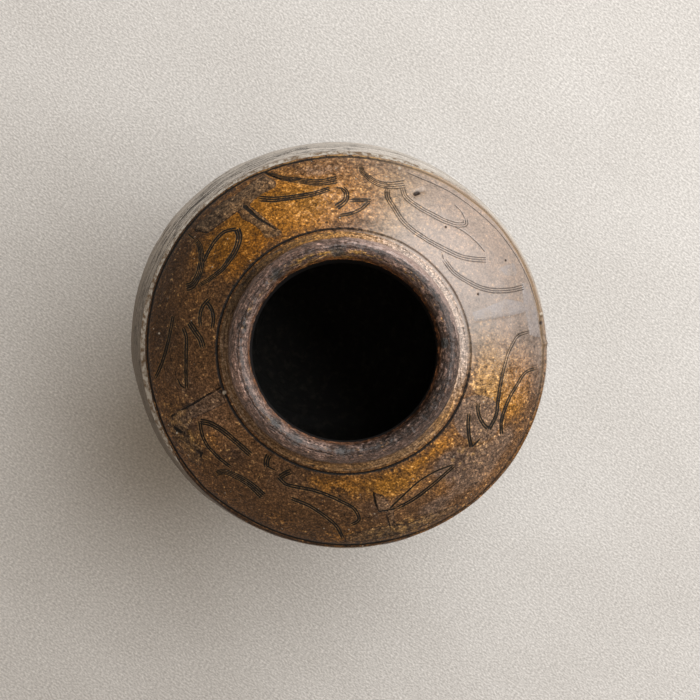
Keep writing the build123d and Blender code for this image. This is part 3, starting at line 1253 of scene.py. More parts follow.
@dataclass(frozen=True)
class AmberGlaze:
    """The shoulder's glaze: amber to brown, pitted, dark where it pools in the comb's grooves."""

    layers: int
    brown: Colour = (0.114, 0.056, 0.023)
    amber: Colour = (0.250, 0.102, 0.012)
    honey: Colour = (0.430, 0.255, 0.080)
    deep: Colour = (0.024, 0.014, 0.010)
    ochre: Colour = (0.300, 0.170, 0.052)
    # A pale haze with painted sheen over it, on the side towards the light.
    haze_and_sheen: Colour = (0.300, 0.243, 0.208)
    line: Colour = (0.004, 0.004, 0.004)
    clay: Colour = (0.142, 0.096, 0.058)
    smoke: Colour = (0.128, 0.086, 0.062)
    # The pale colour of the painted glints and of the nubs' painted highlights.
    grit: Colour = (0.420, 0.360, 0.290)
    bare: Colour = (0.430, 0.400, 0.355)
    lavender: Colour = (0.250, 0.228, 0.232)

    patterns: Track = ((15.0, 4.0, 0.62), (4.6, 4.0, 0.66), (2.4, 2.0, 0.55), (1.3, 2.0, 0.6))
    spacings: Pair = (5.0, 9.0)
    tooth_width: float = 0.42
    tooth_edges: Pair = (-0.05, 0.04)
    band_edges: Pair = (0.9, 0.3)
    haze_and_sheen_thins: float = 0.48
    waver: Pair = (4.0, 2.0)
    waver_pull: float = 0.25
    groove_depth: float = 0.16
    ring_waver: Pair = (14.0, 3.0)
    ring_waver_pull: float = 0.2
    inner_edges: Pair = (1.20, 0.62)
    outer_edges: Pair = (1.15, 0.55)
    second_line: float = 2.0
    second_edges: Pair = (0.50, 0.20)
    rust_edges: Pair = (2.2, 0.8)

    def comb_lines(self, shader: Shader, place: Value, haze_and_sheen: Value) -> tuple[Value, Value]:
        """The dark lines that the comb left, and the bands that it went over.

        Args:
            shader: The shader to add to.
            place: Where the surface is, in millimetres.
            haze_and_sheen: How much pale haze and painted sheen the glaze has, which narrows the lines.

        Returns:
            The lines and the bands, each from 0 to 1.
        """
        waver = shader.noise(place, *self.waver)
        # The lines are narrower under the haze and painted sheen.
        thinning = (0.5 + waver) * (1.0 - haze_and_sheen * self.haze_and_sheen_thins) * self.tooth_width
        lines = None
        bands = None
        for layer in range(self.layers):
            across, last, strength = shader.split(shader.mark(f"{Mark.COMB}_{layer}"))
            across = across + (waver - 0.5) * self.waver_pull
            nearest = shader.math("MAXIMUM", shader.math("ROUND", across), 0.0)
            nearest = shader.math("MINIMUM", nearest, last)
            width = shader.math("MINIMUM", strength * CombWork.sharpness, 1.0) * thinning
            line = shader.rise(width - abs(across - nearest), *self.tooth_edges)
            far, near = self.band_edges
            inside = shader.rise(across, -far, -near) * shader.rise(across - last, far, near)
            band = inside * shader.rise(strength, 0.0, 0.5)
            lines = line if lines is None else shader.math("MAXIMUM", lines, line)
            bands = band if bands is None else shader.math("MAXIMUM", bands, band)
        return lines, bands

    def ground(self, shader: Shader, patterns: list[Value], beads: Value) -> None:
        """Lay the glaze's tones, its smoky patches and its pebbled spots.

        Args:
            shader: The shader to add to.
            patterns: The glaze's noise patterns, from broad to fine.
            beads: Distance to the middles of scattered beads.
        """
        blotch, mottle, fine, grain = patterns
        amber, dark, ochre = shader.split(shader.mark(Mark.TONE))
        tint = blotch * 0.3 + mottle * 0.25 + fine * 0.15
        amber_share = shader.rise(amber * 1.1 - dark * 0.7 + tint, 0.0, 1.0)
        shader.lay(self.amber, amber_share)
        tint = blotch * 0.34 + mottle * 0.3 + fine * 0.2
        dark_share = shader.rise(dark * 0.9 - amber * 0.3 + tint, 0.1, 1.3)
        shader.lay(self.deep, dark_share * 0.85)
        ochre_share = shader.rise(ochre + mottle * 0.35 + fine * 0.35, 0.2, 1.2)
        shader.lay(self.ochre, ochre_share * 0.65)
        bright = fine * 0.5 + mottle * 0.45 + grain * 0.3 + amber * 0.15 + ochre * 0.2
        shader.lay(self.honey, shader.rise(bright, 0.35, 1.35) * 0.55)
        speck = shader.rise(fine * 0.65 + mottle * 0.35 + grain * 0.3 - dark * 0.1, -0.40, -1.1)
        shader.lay(self.deep, speck * 0.8)
        smoke = shader.split(shader.mark(Mark.RING))[2]
        smoky = shader.rise(smoke + (mottle + fine) * 0.10, 0.30, 0.60)
        shader.lay(self.smoke, smoky * (0.72 - fine * 0.2))
        pebbled = shader.split(shader.mark(Mark.SPOT))[2]
        pebble = shader.rise(beads + grain * 0.03, 0.42, 0.22)
        pebble_share = shader.rise(pebbled + blotch * 0.2, 0.3, 0.9)
        shader.lay(self.ochre, pebble_share * pebble * 0.55)
        shader.lay(self.deep, pebble_share * shader.rise(beads + grain * 0.04, 0.46, 0.60) * 0.7)

    def scars(self, shader: Shader, patterns: list[Value]) -> tuple[Value, Value]:
        """Lay the clay of the lug scars and the dark seams round them, painted shade along their raised
        edges.

        Args:
            shader: The shader to add to.
            patterns: The glaze's noise patterns, from broad to fine.

        Returns:
            Where the scars are and how grey they are, each from 0 to 1.
        """
        blotch, mottle, fine, _ = patterns
        scar_edge, _, greyness = shader.split(shader.mark(Mark.SCAR))
        ragged = scar_edge + mottle * 0.35 + blotch * 0.35
        scar = shader.rise(ragged, 0.3, -0.3)
        patchy = shader.rise(blotch * 0.6 + mottle * 0.3, 1.5, -0.1)
        clay = shader.blend(shader.rise(fine * 0.6 + mottle * 0.6, -1.1, 0.3), self.deep, self.clay)
        shader.lay(clay, scar * patchy * (0.25 + greyness * 0.65))
        # Painted shade: dark seams along the scars' raised edges.
        shaded_seam = shader.rise(abs(ragged + 0.1), 0.6, 0.2) * shader.rise(blotch * 0.6 + mottle * 0.3, -0.5, 0.2)
        shader.lay(self.deep, shaded_seam * 0.85)
        return scar, greyness

    def sheen_and_shade(self, shader: Shader, patterns: list[Value], faded: Value) -> Value:
        """Lay the hem, the grain, the pale haze with painted sheen on the side towards the light, and the
        broad light and shade painted by side.

        Args:
            shader: The shader to add to.
            patterns: The glaze's noise patterns, from broad to fine.
            faded: How grey the scars are, which pale under the haze and painted sheen.

        Returns:
            How hazy the glaze is, from 0 to 1.
        """
        blotch, mottle, fine, grain = patterns
        outer = shader.split(shader.mark(Mark.RING))[1]
        _, haze_and_sheen_side, warm = shader.split(shader.mark(Mark.EDGE))
        _, shade, blue = shader.split(shader.mark(Mark.SHADE))
        hem = shader.rise(outer, 1.0, 1.8) * shader.rise(fine * 0.5 + mottle * 0.6, -1.0, 0.6)
        shader.lay(self.deep, shader.rise(outer, 0.9, 1.6) * 0.75)
        shader.lay(self.amber, hem * warm * 0.9)
        grainy = grain * 0.85 + fine * 0.5 + mottle * 0.48 + blotch * 0.2
        shader.grain(grainy, 3.1)
        # The pale haze and painted sheen on the side towards the light.
        haze_and_sheen_share = shader.rise(haze_and_sheen_side + fine * 0.12 + mottle * 0.16 + blotch * 0.12, 0.05, 0.95)
        haze_and_sheen_colour = shader.grained(self.haze_and_sheen, grainy, 1.25)
        shader.lay(haze_and_sheen_colour, haze_and_sheen_share * 0.72)
        # Bluer in places, then lighter and darker by side as painted light and shade.
        greenish = shader.math("POWER", blue, 0.25)
        tint = shader.node("ShaderNodeCombineXYZ", feeds={0: 1.0, 1: greenish, 2: blue})
        shader.colour = shader.scaled(shader.vector("MULTIPLY", shader.colour, tint), shade)
        # The grey scars are paler under the haze and painted sheen.
        faint = faded * haze_and_sheen_share * shader.rise(blotch + mottle * 0.4, 1.2, -0.4)
        shader.lay(self.lavender, faint * 0.55)
        return haze_and_sheen_share

    def cuts(
        self, shader: Shader, place: Value, patterns: list[Value], haze_and_sheen_share: Value
    ) -> tuple[Value, Value]:
        """Lay the comb's lines, the scars' cracks painted black as shade, and the two rings.

        Args:
            shader: The shader to add to.
            place: Where the surface is, in millimetres.
            patterns: The glaze's noise patterns, from broad to fine.
            haze_and_sheen_share: How much pale haze and painted sheen the glaze has.

        Returns:
            Where the comb and the rings cut, and where cracks are, each from 0 to 1.
        """
        blotch, mottle, _, _ = patterns
        shaded_crack = shader.split(shader.mark(Mark.SCAR))[1]
        inner, outer, _ = shader.split(shader.mark(Mark.RING))
        drawn = shader.split(shader.mark(Mark.SHADE))[0]
        lines, bands = self.comb_lines(shader, place, haze_and_sheen_share)
        shader.lay(self.ochre, bands * (1.0 - haze_and_sheen_share) * 0.3)
        # Painted shade: the scars' cracks drawn black in their grooves.
        shaded_crack_line = shader.rise(shaded_crack + mottle * 0.15, 0.35, -0.15) * shader.rise(blotch, -1.4, -0.8)
        shader.lay(self.line, shaded_crack_line * 0.96)
        # The comb's lines are paler under the painted sheen.
        shader.lay(self.line, lines * (0.97 - haze_and_sheen_share * 0.30))
        # Under the painted sheen the inner ring is drawn thinner and paler.
        ring_waver = shader.swing(place, *self.ring_waver) * self.ring_waver_pull
        inner_line = shader.rise(abs(inner + ring_waver) + haze_and_sheen_share * 0.35, *self.inner_edges)
        outer_line = shader.rise(abs(outer + ring_waver), *self.outer_edges)
        edge_line = shader.rise(abs(outer - self.second_line + ring_waver), *self.second_edges)
        edge_line = edge_line * shader.rise(blotch, -0.2, 0.4)
        turned = shader.math("MAXIMUM", inner_line, outer_line)
        rusty = shader.rise(abs(outer + ring_waver), *self.rust_edges) * haze_and_sheen_share
        shader.lay(self.ochre, rusty * 0.55)
        shader.lay(self.line, inner_line * (0.97 - haze_and_sheen_share * 0.62))
        shader.lay(self.line, outer_line * drawn)
        shader.lay(self.line, edge_line * 0.8 * drawn)
        return shader.math("MAXIMUM", lines, turned), shaded_crack_line

    def bare_places(self, shader: Shader, patterns: list[Value]) -> tuple[Value, Value]:
        """Lay the pits with painted shade in and beside them, the nubs with painted highlights, and the clay
        past the glaze's edge.

        Args:
            shader: The shader to add to.
            patterns: The glaze's noise patterns, from broad to fine.

        Returns:
            Where the pits and their painted shade are, and where the clay is bare, each from 0 to 1.
        """
        blotch, mottle, fine, grain = patterns
        pit_and_shade, nub_and_highlight, _ = shader.split(shader.mark(Mark.SPOT))
        limit, _, warm = shader.split(shader.mark(Mark.EDGE))
        # Painted shade in and beside the pits, and painted highlights on the nubs.
        pits_and_shade = shader.rise(pit_and_shade + grain * 0.05, 0.12, 0.85)
        shader.lay(self.deep, pits_and_shade)
        shader.lay(self.grit, shader.rise(nub_and_highlight, 0.3, 0.8) * 0.9)
        bare_edge = limit + mottle * 0.25 + blotch * 0.3
        bared = shader.rise(bare_edge, -0.15, 0.25)
        bare = shader.blend(shader.rise(mottle + fine * 0.5, -0.6, 0.8), self.bare, self.clay)
        shader.lay(bare, bared)
        lip = shader.rise(abs(bare_edge + 0.5), 0.6, 0.2) * shader.rise(blotch + mottle, -0.6, 0.5)
        shader.lay(self.honey, lip * warm * 0.6)
        return pits_and_shade, bared

    def dress(self) -> Material:
        """Build the material.

        Returns:
            The material.
        """
        shader = Shader("amber_glaze", self.brown)
        place = shader.mark(Mark.THROWN)
        patterns = shader.swings(place, self.patterns)
        _, mottle, fine, grain = patterns
        beads, glint_cells = (shader.cells(place, spacing) for spacing in self.spacings)
        self.ground(shader, patterns, beads)
        scar, greyness = self.scars(shader, patterns)
        haze_and_sheen_share = self.sheen_and_shade(shader, patterns, scar * greyness)
        # Painted glints: small pale specks.
        shader.lay(self.grit, shader.rise(glint_cells + grain * 0.01, 0.085, 0.045) * 0.7)
        cut, shaded_crack_line = self.cuts(shader, place, patterns, haze_and_sheen_share)
        pits_and_shade, bared = self.bare_places(shader, patterns)
        bead = shader.rise(beads + grain * 0.02, 0.16, 0.05)
        height = mottle * 0.06 + fine * 0.07 + grain * 0.06 + bead * 0.25
        height = height + scar * (mottle + fine) * 0.08 - cut * self.groove_depth - shaded_crack_line * 0.5
        rough = 0.42 + fine * 0.03 - bead * 0.2 + scar * 0.15 + cut * 0.08 + bared * 0.4
        covered = shader.math("MAXIMUM", bared, shader.math("MAXIMUM", pits_and_shade, cut * 0.6))
        shader.wear(Coat_Weight=haze_and_sheen_share * (1.0 - covered), **HAZE_COAT)
        shader.wear(IOR=GLAZE_IOR, Specular_IOR_Level=0.25)
        return shader.wear(Base_Color=shader.colour, Roughness=rough, Normal=shader.bump(height))


@dataclass(frozen=True)
class NeckGlaze:
    """The neck's glaze: thin and brown, with amber on the crests of the ridges."""

    form: JarForm
    amber_inset: Pair = (9.0, 2.0)
    drawn_out: Streaks = ((6.0, 0.60, 3.0, 0.6), (9.0, 1.3, 3.0, 0.6))
    patterns: Track = ((14.0, 3.0, 0.6), (2.6, 3.0, 0.6), (1.3, 2.0, 0.6))
    brown: Colour = (0.100, 0.054, 0.024)
    amber: Colour = (0.300, 0.150, 0.036)
    mauve: Colour = (0.110, 0.072, 0.052)
    # A pale haze with painted sheen over it, on the side towards the light.
    haze_and_sheen: Colour = (0.400, 0.322, 0.275)
    dark: Colour = (0.014, 0.009, 0.007)
    ash: Colour = (0.150, 0.116, 0.090)

    def dress(self) -> Material:
        """Build the material.

        Returns:
            The material.
        """
        shader = Shader("neck_glaze", self.mauve)
        place = shader.mark(Mark.THROWN)
        haze_and_sheen_side, radius, shade = shader.split(shader.mark(Mark.EDGE))
        ashen, golden, _ = shader.split(shader.mark(Mark.SHADE))
        streak, thin = shader.streaks(place, self.drawn_out)
        blotch, mottle, grain = shader.swings(place, self.patterns)
        shader.lay(self.brown, shader.rise(blotch, -0.8, 0.8))
        foot = self.form.neck_foot_radius
        start, full = self.amber_inset
        out = shader.rise(radius + mottle * 0.4, foot - start, foot - full)
        shader.lay(self.amber, out * shader.rise(streak + mottle * 0.3, -0.9, 0.7) * 0.8)
        shader.lay(self.amber, golden * shader.rise(streak + mottle * 0.5, -1.0, 0.5) * 0.85)
        shader.lay(self.ash, ashen * shader.rise(streak + mottle * 0.5, -0.8, 0.6))
        # The pale haze and painted sheen on the side towards the light.
        haze_and_sheen_share = shader.rise(haze_and_sheen_side + mottle * 0.2 + streak * 0.15, 0.1, 0.9)
        shader.lay(self.haze_and_sheen, haze_and_sheen_share * 0.75)
        shader.lay(self.dark, shader.rise(thin + mottle * 0.2, -0.25, -0.9) * 0.8)
        shader.grain(grain * 0.8 + mottle * 0.4 + streak * 0.3, 2.2)
        # Painted light and shade by side.
        shader.colour = shader.scaled(shader.colour, shade)
        height = streak * 0.16 + thin * 0.12 + mottle * 0.05 + grain * 0.03
        rough = 0.42 + mottle * 0.03
        shader.wear(Coat_Weight=haze_and_sheen_share * 0.9, **HAZE_COAT)
        shader.wear(IOR=GLAZE_IOR, Specular_IOR_Level=0.25)
        return shader.wear(Base_Color=shader.colour, Roughness=rough, Normal=shader.bump(height))


@dataclass(frozen=True)
class RimGlaze:
    """The rim's glaze: crawled and wrinkled, mauve brown with ochre and charcoal patches."""

    form: JarForm
    mauve: Colour = (0.092, 0.056, 0.043)
    pale: Colour = (0.240, 0.160, 0.130)
    # The pale lip's colour, partly a painted highlight.
    lip: Colour = (0.300, 0.205, 0.170)
    ochre: Colour = (0.250, 0.135, 0.026)
    rust: Colour = (0.290, 0.110, 0.034)
    # A pale haze with painted sheen over it, on the outer flank towards the light.
    haze_and_sheen: Colour = (0.450, 0.318, 0.275)
    charcoal: Colour = (0.030, 0.030, 0.030)
    dark: Colour = (0.012, 0.008, 0.007)
    drawn_out: Streaks = ((10.0, 0.52, 4.0, 0.68), (6.0, 0.40, 4.0, 0.65), (20.0, 0.80, 3.0, 0.6))
    patterns: Track = ((9.0, 4.0, 0.62), (3.4, 4.0, 0.65), (1.2, 2.0, 0.6))
    bead_spacing: float = 3.4
    opening_fade: Pair = (3.2, 1.4)
    flank_inset: float = 9.0
    flank_edges: Pair = (0.9, 0.2)
    grey_azimuths: tuple[float, ...] = (93.0, 131.0, 226.0, 241.0, 268.0)
    grey_spot: tuple[float, ...] = (6.0, 1.0, 6.5, 5.0)
    chip_azimuth: float = 5.0
    chip_spot: tuple[float, ...] = (4.6, 1.5, 3.4, 2.6)

    def rim_spot(self, shader: Shader, place: Value, azimuth: float, sizes: tuple[float, ...]) -> Value:
        """A soft round spot on the rim.

        Args:
            shader: The shader to add to.
            place: Where the surface is, in millimetres.
            azimuth: Where the spot's middle is, in degrees.
            sizes: The middle's distance out from the opening and down from the top, then the
                spot's radius and softness.

        Returns:
            1 in the spot and 0 outside.
        """
        out, down, radius, soft = sizes
        x, y = plan_points(((azimuth, self.form.mouth_radius + out),))[0]
        return shader.spot(place, (float(x), float(y), self.form.rim_top_z - down), radius, soft)

    def dress(self) -> Material:
        """Build the material.

        Returns:
            The material.
        """
        shader = Shader("rim_glaze", self.mauve)
        place = shader.mark(Mark.THROWN)
        haze_and_sheen_side, radius, shaded_inner = shader.split(shader.mark(Mark.EDGE))
        golden, pale_and_lit_lip, shade = shader.split(shader.mark(Mark.SHADE))
        rusty = shader.split(shader.mark(Mark.TONE))[0]
        wrinkle, streak, fine = shader.streaks(place, self.drawn_out, self.form.crest_radius)
        blotch, mottle, grain = shader.swings(place, self.patterns)
        beads = shader.cells(place, self.bead_spacing)

        shader.lay(self.pale, shader.rise(mottle * 0.5 + blotch * 0.3 + fine * 0.4, -0.1, 1.4))
        ochre = shader.rise(streak * 0.8 + mottle * 0.5 + fine * 0.3 + golden * 1.1, 0.6, 1.3)
        shader.lay(self.ochre, ochre * 0.85)
        # A pale lip, partly a painted highlight where the inner slope faces the light.
        lip = shader.rise(pale_and_lit_lip + mottle * 0.25 + fine * 0.2, 0.3, 0.9)
        shader.lay(self.lip, lip * 0.75)
        grey = None
        for azimuth in self.grey_azimuths:
            spot = self.rim_spot(shader, place, azimuth, self.grey_spot)
            grey = spot if grey is None else grey + spot
        grey = shader.rise(grey + blotch * 0.25 + mottle * 0.25, 0.45, 1.00)
        shader.lay(self.charcoal, grey * 0.85)
        inner = self.form.mouth_radius
        start, full = self.opening_fade
        edge = shader.rise(radius + blotch * 0.9 + mottle * 0.6, inner + start, inner + full)
        shader.lay(self.rust, edge * shader.rise(mottle + streak * 0.5, -0.8, 0.5) * 0.8)
        # Painted shade on the inner half away from the light; rust spots are laid there too.
        shader.lay(self.dark, shaded_inner * shader.rise(mottle + blotch * 0.4, 0.9, -0.5) * 0.75)
        spots = shader.rise(mottle * 0.5 + streak * 0.5 + fine * 0.4, 0.60, 1.10)
        shader.lay(self.rust, spots * (shaded_inner + rusty) * 0.8)
        # Painted sheen with a pale haze on the outer flank towards the light.
        haze_and_sheen_share = shader.rise(haze_and_sheen_side + mottle * 0.2 + fine * 0.1 + wrinkle * 0.1, 0.25, 0.95)
        shader.lay(self.haze_and_sheen, haze_and_sheen_share * 0.8)
        chip = self.rim_spot(shader, place, self.chip_azimuth, self.chip_spot)
        chip = shader.rise(chip + mottle * 0.25, 0.35, 0.6)
        shader.lay(self.charcoal, chip * 0.95)
        # Painted shade in the wrinkles' creases, weaker under the painted sheen.
        shaded_crease = shader.rise(wrinkle + fine * 0.3, -0.1, -0.9)
        shader.lay(self.dark, shaded_crease * (0.9 - haze_and_sheen_share * 0.6))
        flank = abs(radius - inner - self.flank_inset + blotch * 0.7)
        flank = shader.rise(flank, *self.flank_edges)
        flank = flank * shader.rise(mottle, -0.6, 0.3)
        shader.lay(self.dark, flank * (0.85 - haze_and_sheen_share * 0.7))
        grainy = grain * 0.55 + fine * 0.62 + wrinkle * 0.30 + mottle * 0.28
        # Painted light and shade by side.
        shader.colour = shader.scaled(shader.colour, shade)
        # The grain, with the wrinkles' crests lighter and creases darker as painted light and shade, weaker
        # under the painted sheen.
        shader.grain(grainy * (1.0 - haze_and_sheen_share * 0.6), 3.4)
        bead = shader.rise(beads + fine * 0.02, 0.22, 0.08)
        height = wrinkle * 0.26 + mottle * 0.13 + fine * 0.14 + grain * 0.05 + bead * 0.30 - flank * 0.4
        rough = 0.36 + mottle * 0.03 - bead * 0.16
        shader.wear(Coat_Weight=0.35 + haze_and_sheen_share * 0.5, Coat_Roughness=0.16, Coat_IOR=1.5)
        shader.wear(IOR=GLAZE_IOR, Specular_IOR_Level=0.3)
        return shader.wear(Base_Color=shader.colour, Roughness=rough, Normal=shader.bump(height))


@dataclass(frozen=True)
class BareStoneware:
    """The unglazed body: pale grey clay with wheel marks, scratches, grit and scorched patches, with painted
    light on its upper wall towards one side and painted shade towards the other.
    """

    form: JarForm
    pale: Colour = (0.430, 0.400, 0.360)
    buff: Colour = (0.340, 0.295, 0.245)
    grey: Colour = (0.235, 0.217, 0.195)
    # A pale colour, for painted light on the upper wall and for pale streaks.
    chalk: Colour = (0.560, 0.520, 0.474)
    scorch: Colour = (0.190, 0.125, 0.080)
    dark: Colour = (0.024, 0.020, 0.018)
    # The colour of the painted shade.
    shade_side: Colour = (0.120, 0.096, 0.072)
    # The side of the upper wall with painted light.
    chalk_azimuth: float = 128.0
    chalk_fade: Pair = (35.0, 125.0)
    # The side of the upper wall with painted shade.
    shade_side_azimuth: float = 200.0
    shade_side_fade: Pair = (70.0, 150.0)
    upper_drops: Pair = (-110.0, -60.0)
    lower_drops: Pair = (-40.0, -90.0)
    collar_drops: Pair = (-12.0, -4.0)
    rugged_drops: Pair = (-50.0, -25.0)
    rugged_fade: Pair = (50.0, 120.0)
    strip_drop: float = 20.0
    strip_edges: Pair = (8.0, 3.0)
    ridges: Track = ((26.0, 3.0, 0.6), (40.0, 2.4, 0.45))
    drawn_out: Streaks = ((7.0, 0.25, 4.0, 0.62), (20.0, 0.9, 3.0, 0.6), (2.4, 0.13, 5.0, 0.66))
    patterns: Track = ((38.0, 4.0, 0.6), (6.0, 4.0, 0.65), (1.8, 3.0, 0.65), (1.2, 2.0, 0.6),
                       (60.0, 3.0, 0.6))
    grit_spacing: float = 7.5

    @staticmethod
    def towards(x: Value, y: Value, azimuth: float) -> Value:
        """How far out towards an azimuth the surface is, in millimetres."""
        turn = math.radians(azimuth)
        return x * math.cos(turn) + y * math.sin(turn)

    def dress(self) -> Material:
        """Build the material.

        Returns:
            The material.
        """
        shader = Shader("bare_stoneware", self.pale)
        place = shader.mark(Mark.THROWN)
        score = shader.split(shader.mark(Mark.SCORE))[0]
        x, y, height = shader.split(place)
        from_top = height - self.form.break_z
        wheel, thin, split = shader.streaks(place, self.drawn_out)
        blotch, mottle, fine, grain, flare = shader.swings(place, self.patterns)
        shader.lay(self.buff, shader.rise(blotch + mottle * 0.4, -0.8, 1.2))
        # Painted light: the upper wall paler towards one side.
        towards = self.towards(x, y, self.chalk_azimuth)
        upper = shader.rise(from_top + blotch * 5.0, *self.upper_drops)
        shader.lay(self.chalk, upper * shader.rise(towards, *self.chalk_fade) * 0.7)
        lower = shader.rise(from_top + blotch * 8.0, *self.lower_drops)
        shader.lay(self.grey, lower * 0.35)
        shader.lay(self.grey, shader.rise(wheel + mottle * 0.3, 0.0, 1.1) * 0.45)
        wobble = wheel * 2.2 + blotch * 2.0
        strip = shader.rise(abs(from_top + self.strip_drop + wobble), *self.strip_edges)
        shader.lay(self.chalk, strip * 0.35)
        for drop, width, amount in self.ridges:
            line = shader.rise(abs(from_top + drop + wobble * 0.6), width, width * 0.3)
            broken = shader.rise(thin + mottle * 0.5, -0.9, 0.4)
            shader.lay(self.dark, line * broken * amount)
        # Painted shade: the upper wall darker towards the other side.
        shade_side = shader.rise(self.towards(x, y, self.shade_side_azimuth), *self.shade_side_fade)
        shader.lay(self.shade_side, shade_side * upper * 0.75)
        collar = shader.rise(from_top + wobble * 0.5, *self.collar_drops)
        shader.lay(self.scorch, collar * 0.45)
        flash = shader.rise(flare + mottle * 0.3, 0.50, 1.5)
        shader.lay(self.scorch, flash * 0.5)
        rugged = shader.rise(from_top + wobble, *self.rugged_drops)
        rugged = shader.rise(towards, *self.rugged_fade) * rugged
        patchy = shader.rise(blotch + mottle * 0.4 + fine * 0.2 + rugged * 1.3, 0.1, 0.8)
        cracks = shader.rise(abs(split), 0.12, 0.02) * patchy * (upper * 0.7 + 0.3)
        scratch = shader.rise(thin + wheel * 0.4 + mottle * 0.3, -0.8, -1.4)
        marks = shader.math("MAXIMUM", cracks, scratch * 0.8)
        scored = shader.rise(score + mottle * 1.2 + fine * 0.6, 0.8, -0.6)
        marks = shader.math("MAXIMUM", marks, scored)
        shader.lay(self.dark, marks * 0.85)
        grit = shader.rise(shader.cells(place, self.grit_spacing) + fine * 0.01, 0.10, 0.05)
        shader.lay(self.dark, grit * 0.8)
        shader.lay(self.chalk, rugged * shader.rise(thin + fine * 0.4, 0.3, 1.2) * 0.6)
        shader.grain(grain * 0.4 + fine * 0.35 + mottle * 0.25 + rugged * thin * 0.3, 1.55)
        relief = wheel * 0.20 + thin * 0.08 + mottle * 0.10 + fine * 0.06 + grain * 0.03 - marks * 0.6
        rough = 0.80 + fine * 0.03
        shader.wear(IOR=GLAZE_IOR, Roughness=rough)
        return shader.wear(Base_Color=shader.colour, Normal=shader.bump(relief))


@dataclass(frozen=True)
class DarkInside:
    """The jar's inside: dark over its throwing rings, and black near the mouth as painted shade."""

    # Where the painted shade near the mouth is full, and how far it fades below.
    soot_above: float
    soot_fade: float = 12.0
    inner_dark: Colour = (0.036, 0.036, 0.035)
    bare: Colour = (0.080, 0.072, 0.062)
    # The black of the painted shade near the mouth.
    soot: Colour = (0.006, 0.005, 0.005)
    drawn_out: Streaks = ((6.0, 0.25, 3.0, 0.6),)
    mottling: tuple[float, ...] = (7.0, 4.0, 0.65)

    def dress(self) -> Material:
        """Build the material.

        Returns:
            The material.
        """
        shader = Shader("dark_inside", self.inner_dark)
        place = shader.mark(Mark.THROWN)
        rings = shader.streaks(place, self.drawn_out)[0]
        mottle = shader.swing(place, *self.mottling)
        shader.lay(self.bare, shader.rise(mottle + rings * 0.5, -0.2, 1.4))
        # Painted shade: black near the mouth.
        height = shader.split(place)[2] + mottle * 2.0
        mouth_shaded = shader.rise(height, self.soot_above - self.soot_fade, self.soot_above)
        shader.lay(self.soot, mouth_shaded)
        relief = rings * 0.25 + mottle * 0.12
        rough = 0.55 + mottle * 0.03 + mouth_shaded * 0.3
        shader.wear(IOR=GLAZE_IOR, Specular_IOR_Level=0.2)
        return shader.wear(Base_Color=shader.colour, Roughness=rough, Normal=shader.bump(relief))


@dataclass
class Section:
    """A section of the jar: modelled in the jar's round shape, and bent with it at the end."""

    form: JarForm
    cage: Piece

    def throw(self, name: str, outline: Outline, steps: int) -> tuple[Piece, Places]:
        """Turn the section on the wheel.

        Args:
            name: The piece's name.
            outline: Distances from the axis and heights, in millimetres, in order round the section.
            steps: How many steps a full turn has.

        Returns:
            The piece, and its vertices' places, which it also carries as a mark.
        """
        piece = Bench.spin(name, outline, steps)
        places = Places(piece)
        Bench.mark(piece, Mark.THROWN, *places.spots.T)
        return piece, places

    def paint(self, piece: Piece, outside: Material, inner: np.ndarray) -> None:
        """Give a shell its finish outside and the dark one inside.

        Args:
            piece: The shell.
            outside: The finish of its outside.
            inner: True for each vertex that is inside.
        """
        piece.data.materials.append(outside)
        piece.data.materials.append(DarkInside(self.form.neck_foot_z).dress())
        chosen = over_faces(piece.data, inner, np.minimum)
        piece.data.polygons.foreach_set("material_index", chosen.astype(np.int32))
        piece.data.update()

    def hand_over(self, piece: Piece, slot: Slot, *nodes: str) -> None:
        """Bend a finished piece with the jar, shade it smooth, attach it to the jar's body and hide the CAD
        nodes that it replaces.

        Args:
            piece: The piece, in the jar's round shape.
            slot: The material slot that the piece stands for; not used.
            nodes: The CAD nodes that it replaces.
        """
        Bench.modify(piece, "LATTICE", object=self.cage)
        Bench.smooth(piece)
        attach(piece, BODY)
        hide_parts(*nodes)
        log.info("%s: %d vertices, for %s", piece.name, len(piece.data.vertices), ", ".join(nodes))


